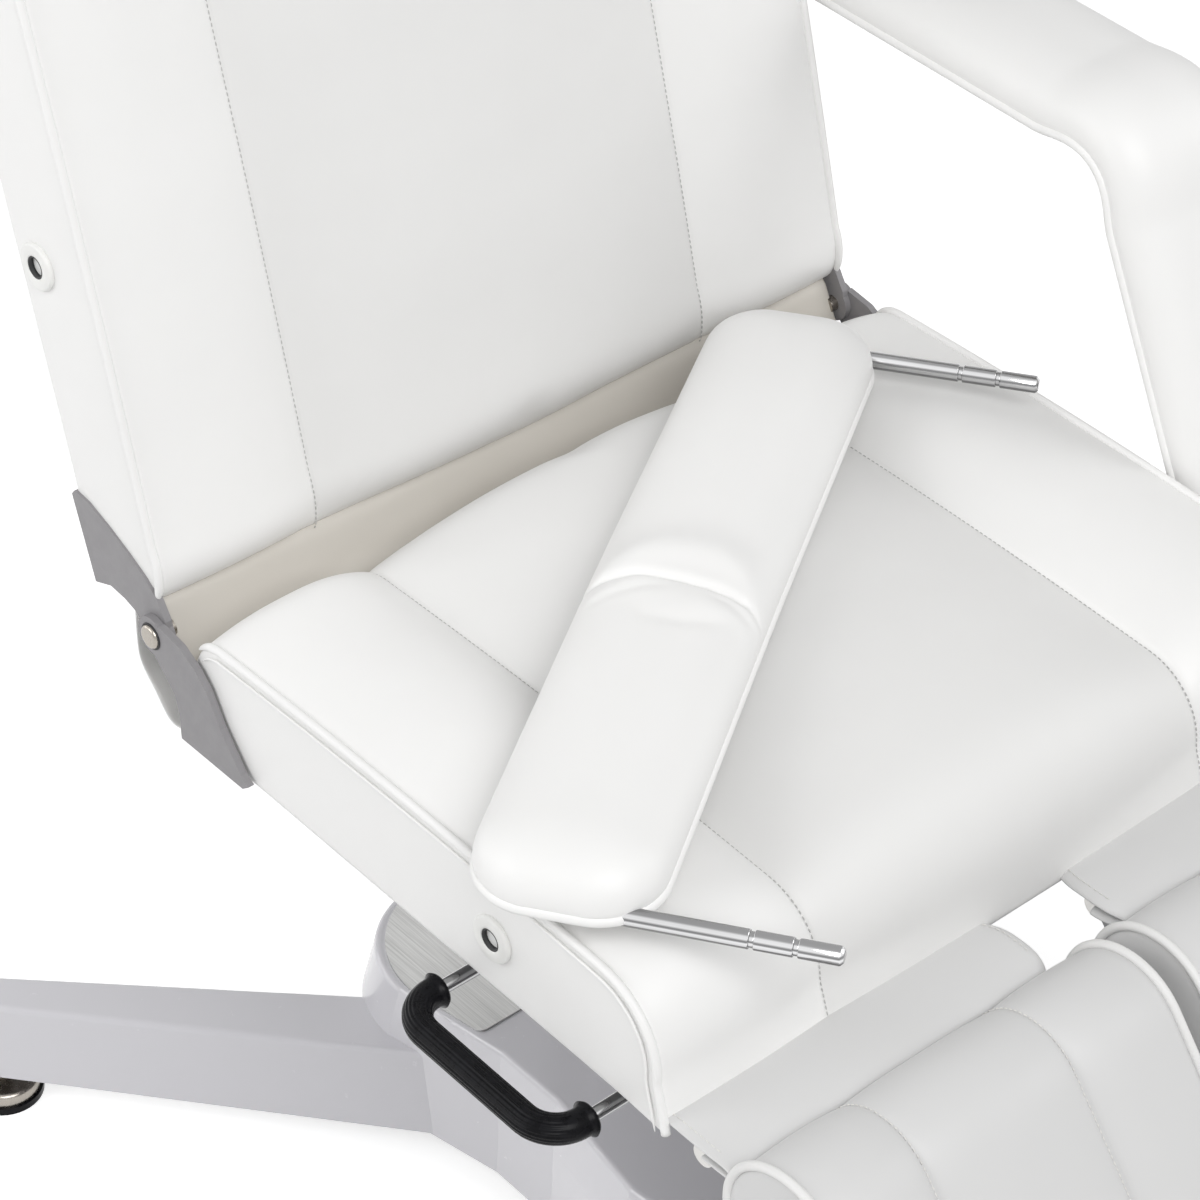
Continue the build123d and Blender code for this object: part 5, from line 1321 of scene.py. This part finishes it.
def make_washers():
    """Dark washers behind the heads of the hinge pins."""
    turns = np.linspace(0, 2 * math.pi, 40, endpoint=False)
    parts = []
    for side in (-1, 1):
        ring = [(side * (PLATE_HIGH.x / MM + 0.3), HINGE.y / MM + WASHER_R * math.cos(a),
                 HINGE.z / MM + WASHER_R * math.sin(a)) for a in turns]
        parts.append(tube_mesh(ring, 0.7, around=8, closed=True))
    make_object("hinge_pin_washers", join(parts), BLACK_PLASTIC, "seat", "rubber")


# Stage, light and camera
FLOOR_REACH = 14.0
WORLD_LIGHT = 0.35
LOOK_AT = Vector((0.0, 0.05, 0.75))
LAMPS = [               # name, place in metres, size, power in watts
    ("key", (-1.2, -2.4, 3.3), (2.6, 2.0), 78),
    ("rear_left", (-3.2, 1.2, 2.4), (2.0, 2.4), 44),
    ("right", (2.8, -1.8, 2.4), (2.0, 2.4), 28),
    ("rear_low", (-1.6, 2.6, 0.9), (1.8, 1.2), 12),
]


def seen(owner):
    """1 for rays that show the background, also in metal and glass, and 0 for those that light the chair."""
    path = add(owner, "ShaderNodeLightPath").outputs
    straight = maths(owner, "MAXIMUM", path["Is Camera Ray"], path["Is Glossy Ray"])
    return maths(owner, "MAXIMUM", straight, path["Is Transmission Ray"])


def make_stage():
    """A pale floor that keeps the shadow and is bright only where it is seen."""
    mesh = bpy.data.meshes.new("floor")
    corners = [(x * FLOOR_REACH, y * FLOOR_REACH, 0) for x, y in ((-1, -1), (1, -1), (1, 1), (-1, 1))]
    mesh.from_pydata(corners, [], [(0, 1, 2, 3)])
    floor = new_object("floor", mesh)
    material = bpy.data.materials.new("floor_white")
    output = fresh_output(material, "ShaderNodeOutputMaterial")
    diffuse = add(material, "ShaderNodeBsdfDiffuse", {"Color": (0.80, 0.80, 0.80, 1)}).outputs[0]
    glow = add(material, "ShaderNodeEmission", {"Color": (1, 1, 1, 1), "Strength": 0.62}).outputs[0]
    both = add(material, "ShaderNodeAddShader", {0: diffuse, 1: glow}).outputs[0]
    mix = add(material, "ShaderNodeMixShader", {0: seen(material), 1: diffuse, 2: both})
    feed(output, {0: mix.outputs[0]})
    mesh.materials.append(material)


def make_world():
    """A white background that lights the chair at a lower strength."""
    world = bpy.data.worlds.new("studio")
    bpy.context.scene.world = world
    output = fresh_output(world, "ShaderNodeOutputWorld")
    soft, white = (add(world, "ShaderNodeBackground", {0: (1, 1, 1, 1), 1: strength}).outputs[0]
                   for strength in (WORLD_LIGHT, 1.0))
    mix = add(world, "ShaderNodeMixShader", {0: seen(world), 1: soft, 2: white})
    feed(output, {0: mix.outputs[0]})


def make_lights():
    for name, place, size, power in LAMPS:
        data = bpy.data.lights.new(name, "AREA")
        data.shape = "RECTANGLE"
        data.size, data.size_y = size
        data.energy = power
        light = new_object(name, data)
        light.location = place
        light.rotation_euler = (LOOK_AT - Vector(place)).to_track_quat("-Z", "Y").to_euler()


def make_camera():
    data = bpy.data.cameras.new("photo_camera")
    data.lens = CAMERA_LENS
    data.sensor_width = SENSOR
    data.sensor_fit = "HORIZONTAL"
    camera = new_object("photo_camera", data)
    turn = Matrix.Rotation(CAMERA_TURN, 4, "Z") @ Matrix.Rotation(CAMERA_TILT, 4, "X")
    camera.matrix_world = Matrix.Translation(CAMERA_PLACE) @ turn @ Matrix.Rotation(CAMERA_ROLL, 4, "Z")
    bpy.context.scene.camera = camera


make_seat()
make_back()
make_leg("left", 1)
make_leg("right", -1)
make_headrest()
make_armrests()
make_pins()
make_flaps()
make_gusset()
make_grommets()
make_grips()
make_washers()
make_stage()
make_world()
make_lights()
make_camera()
bpy.context.scene.view_settings.view_transform = "Standard"
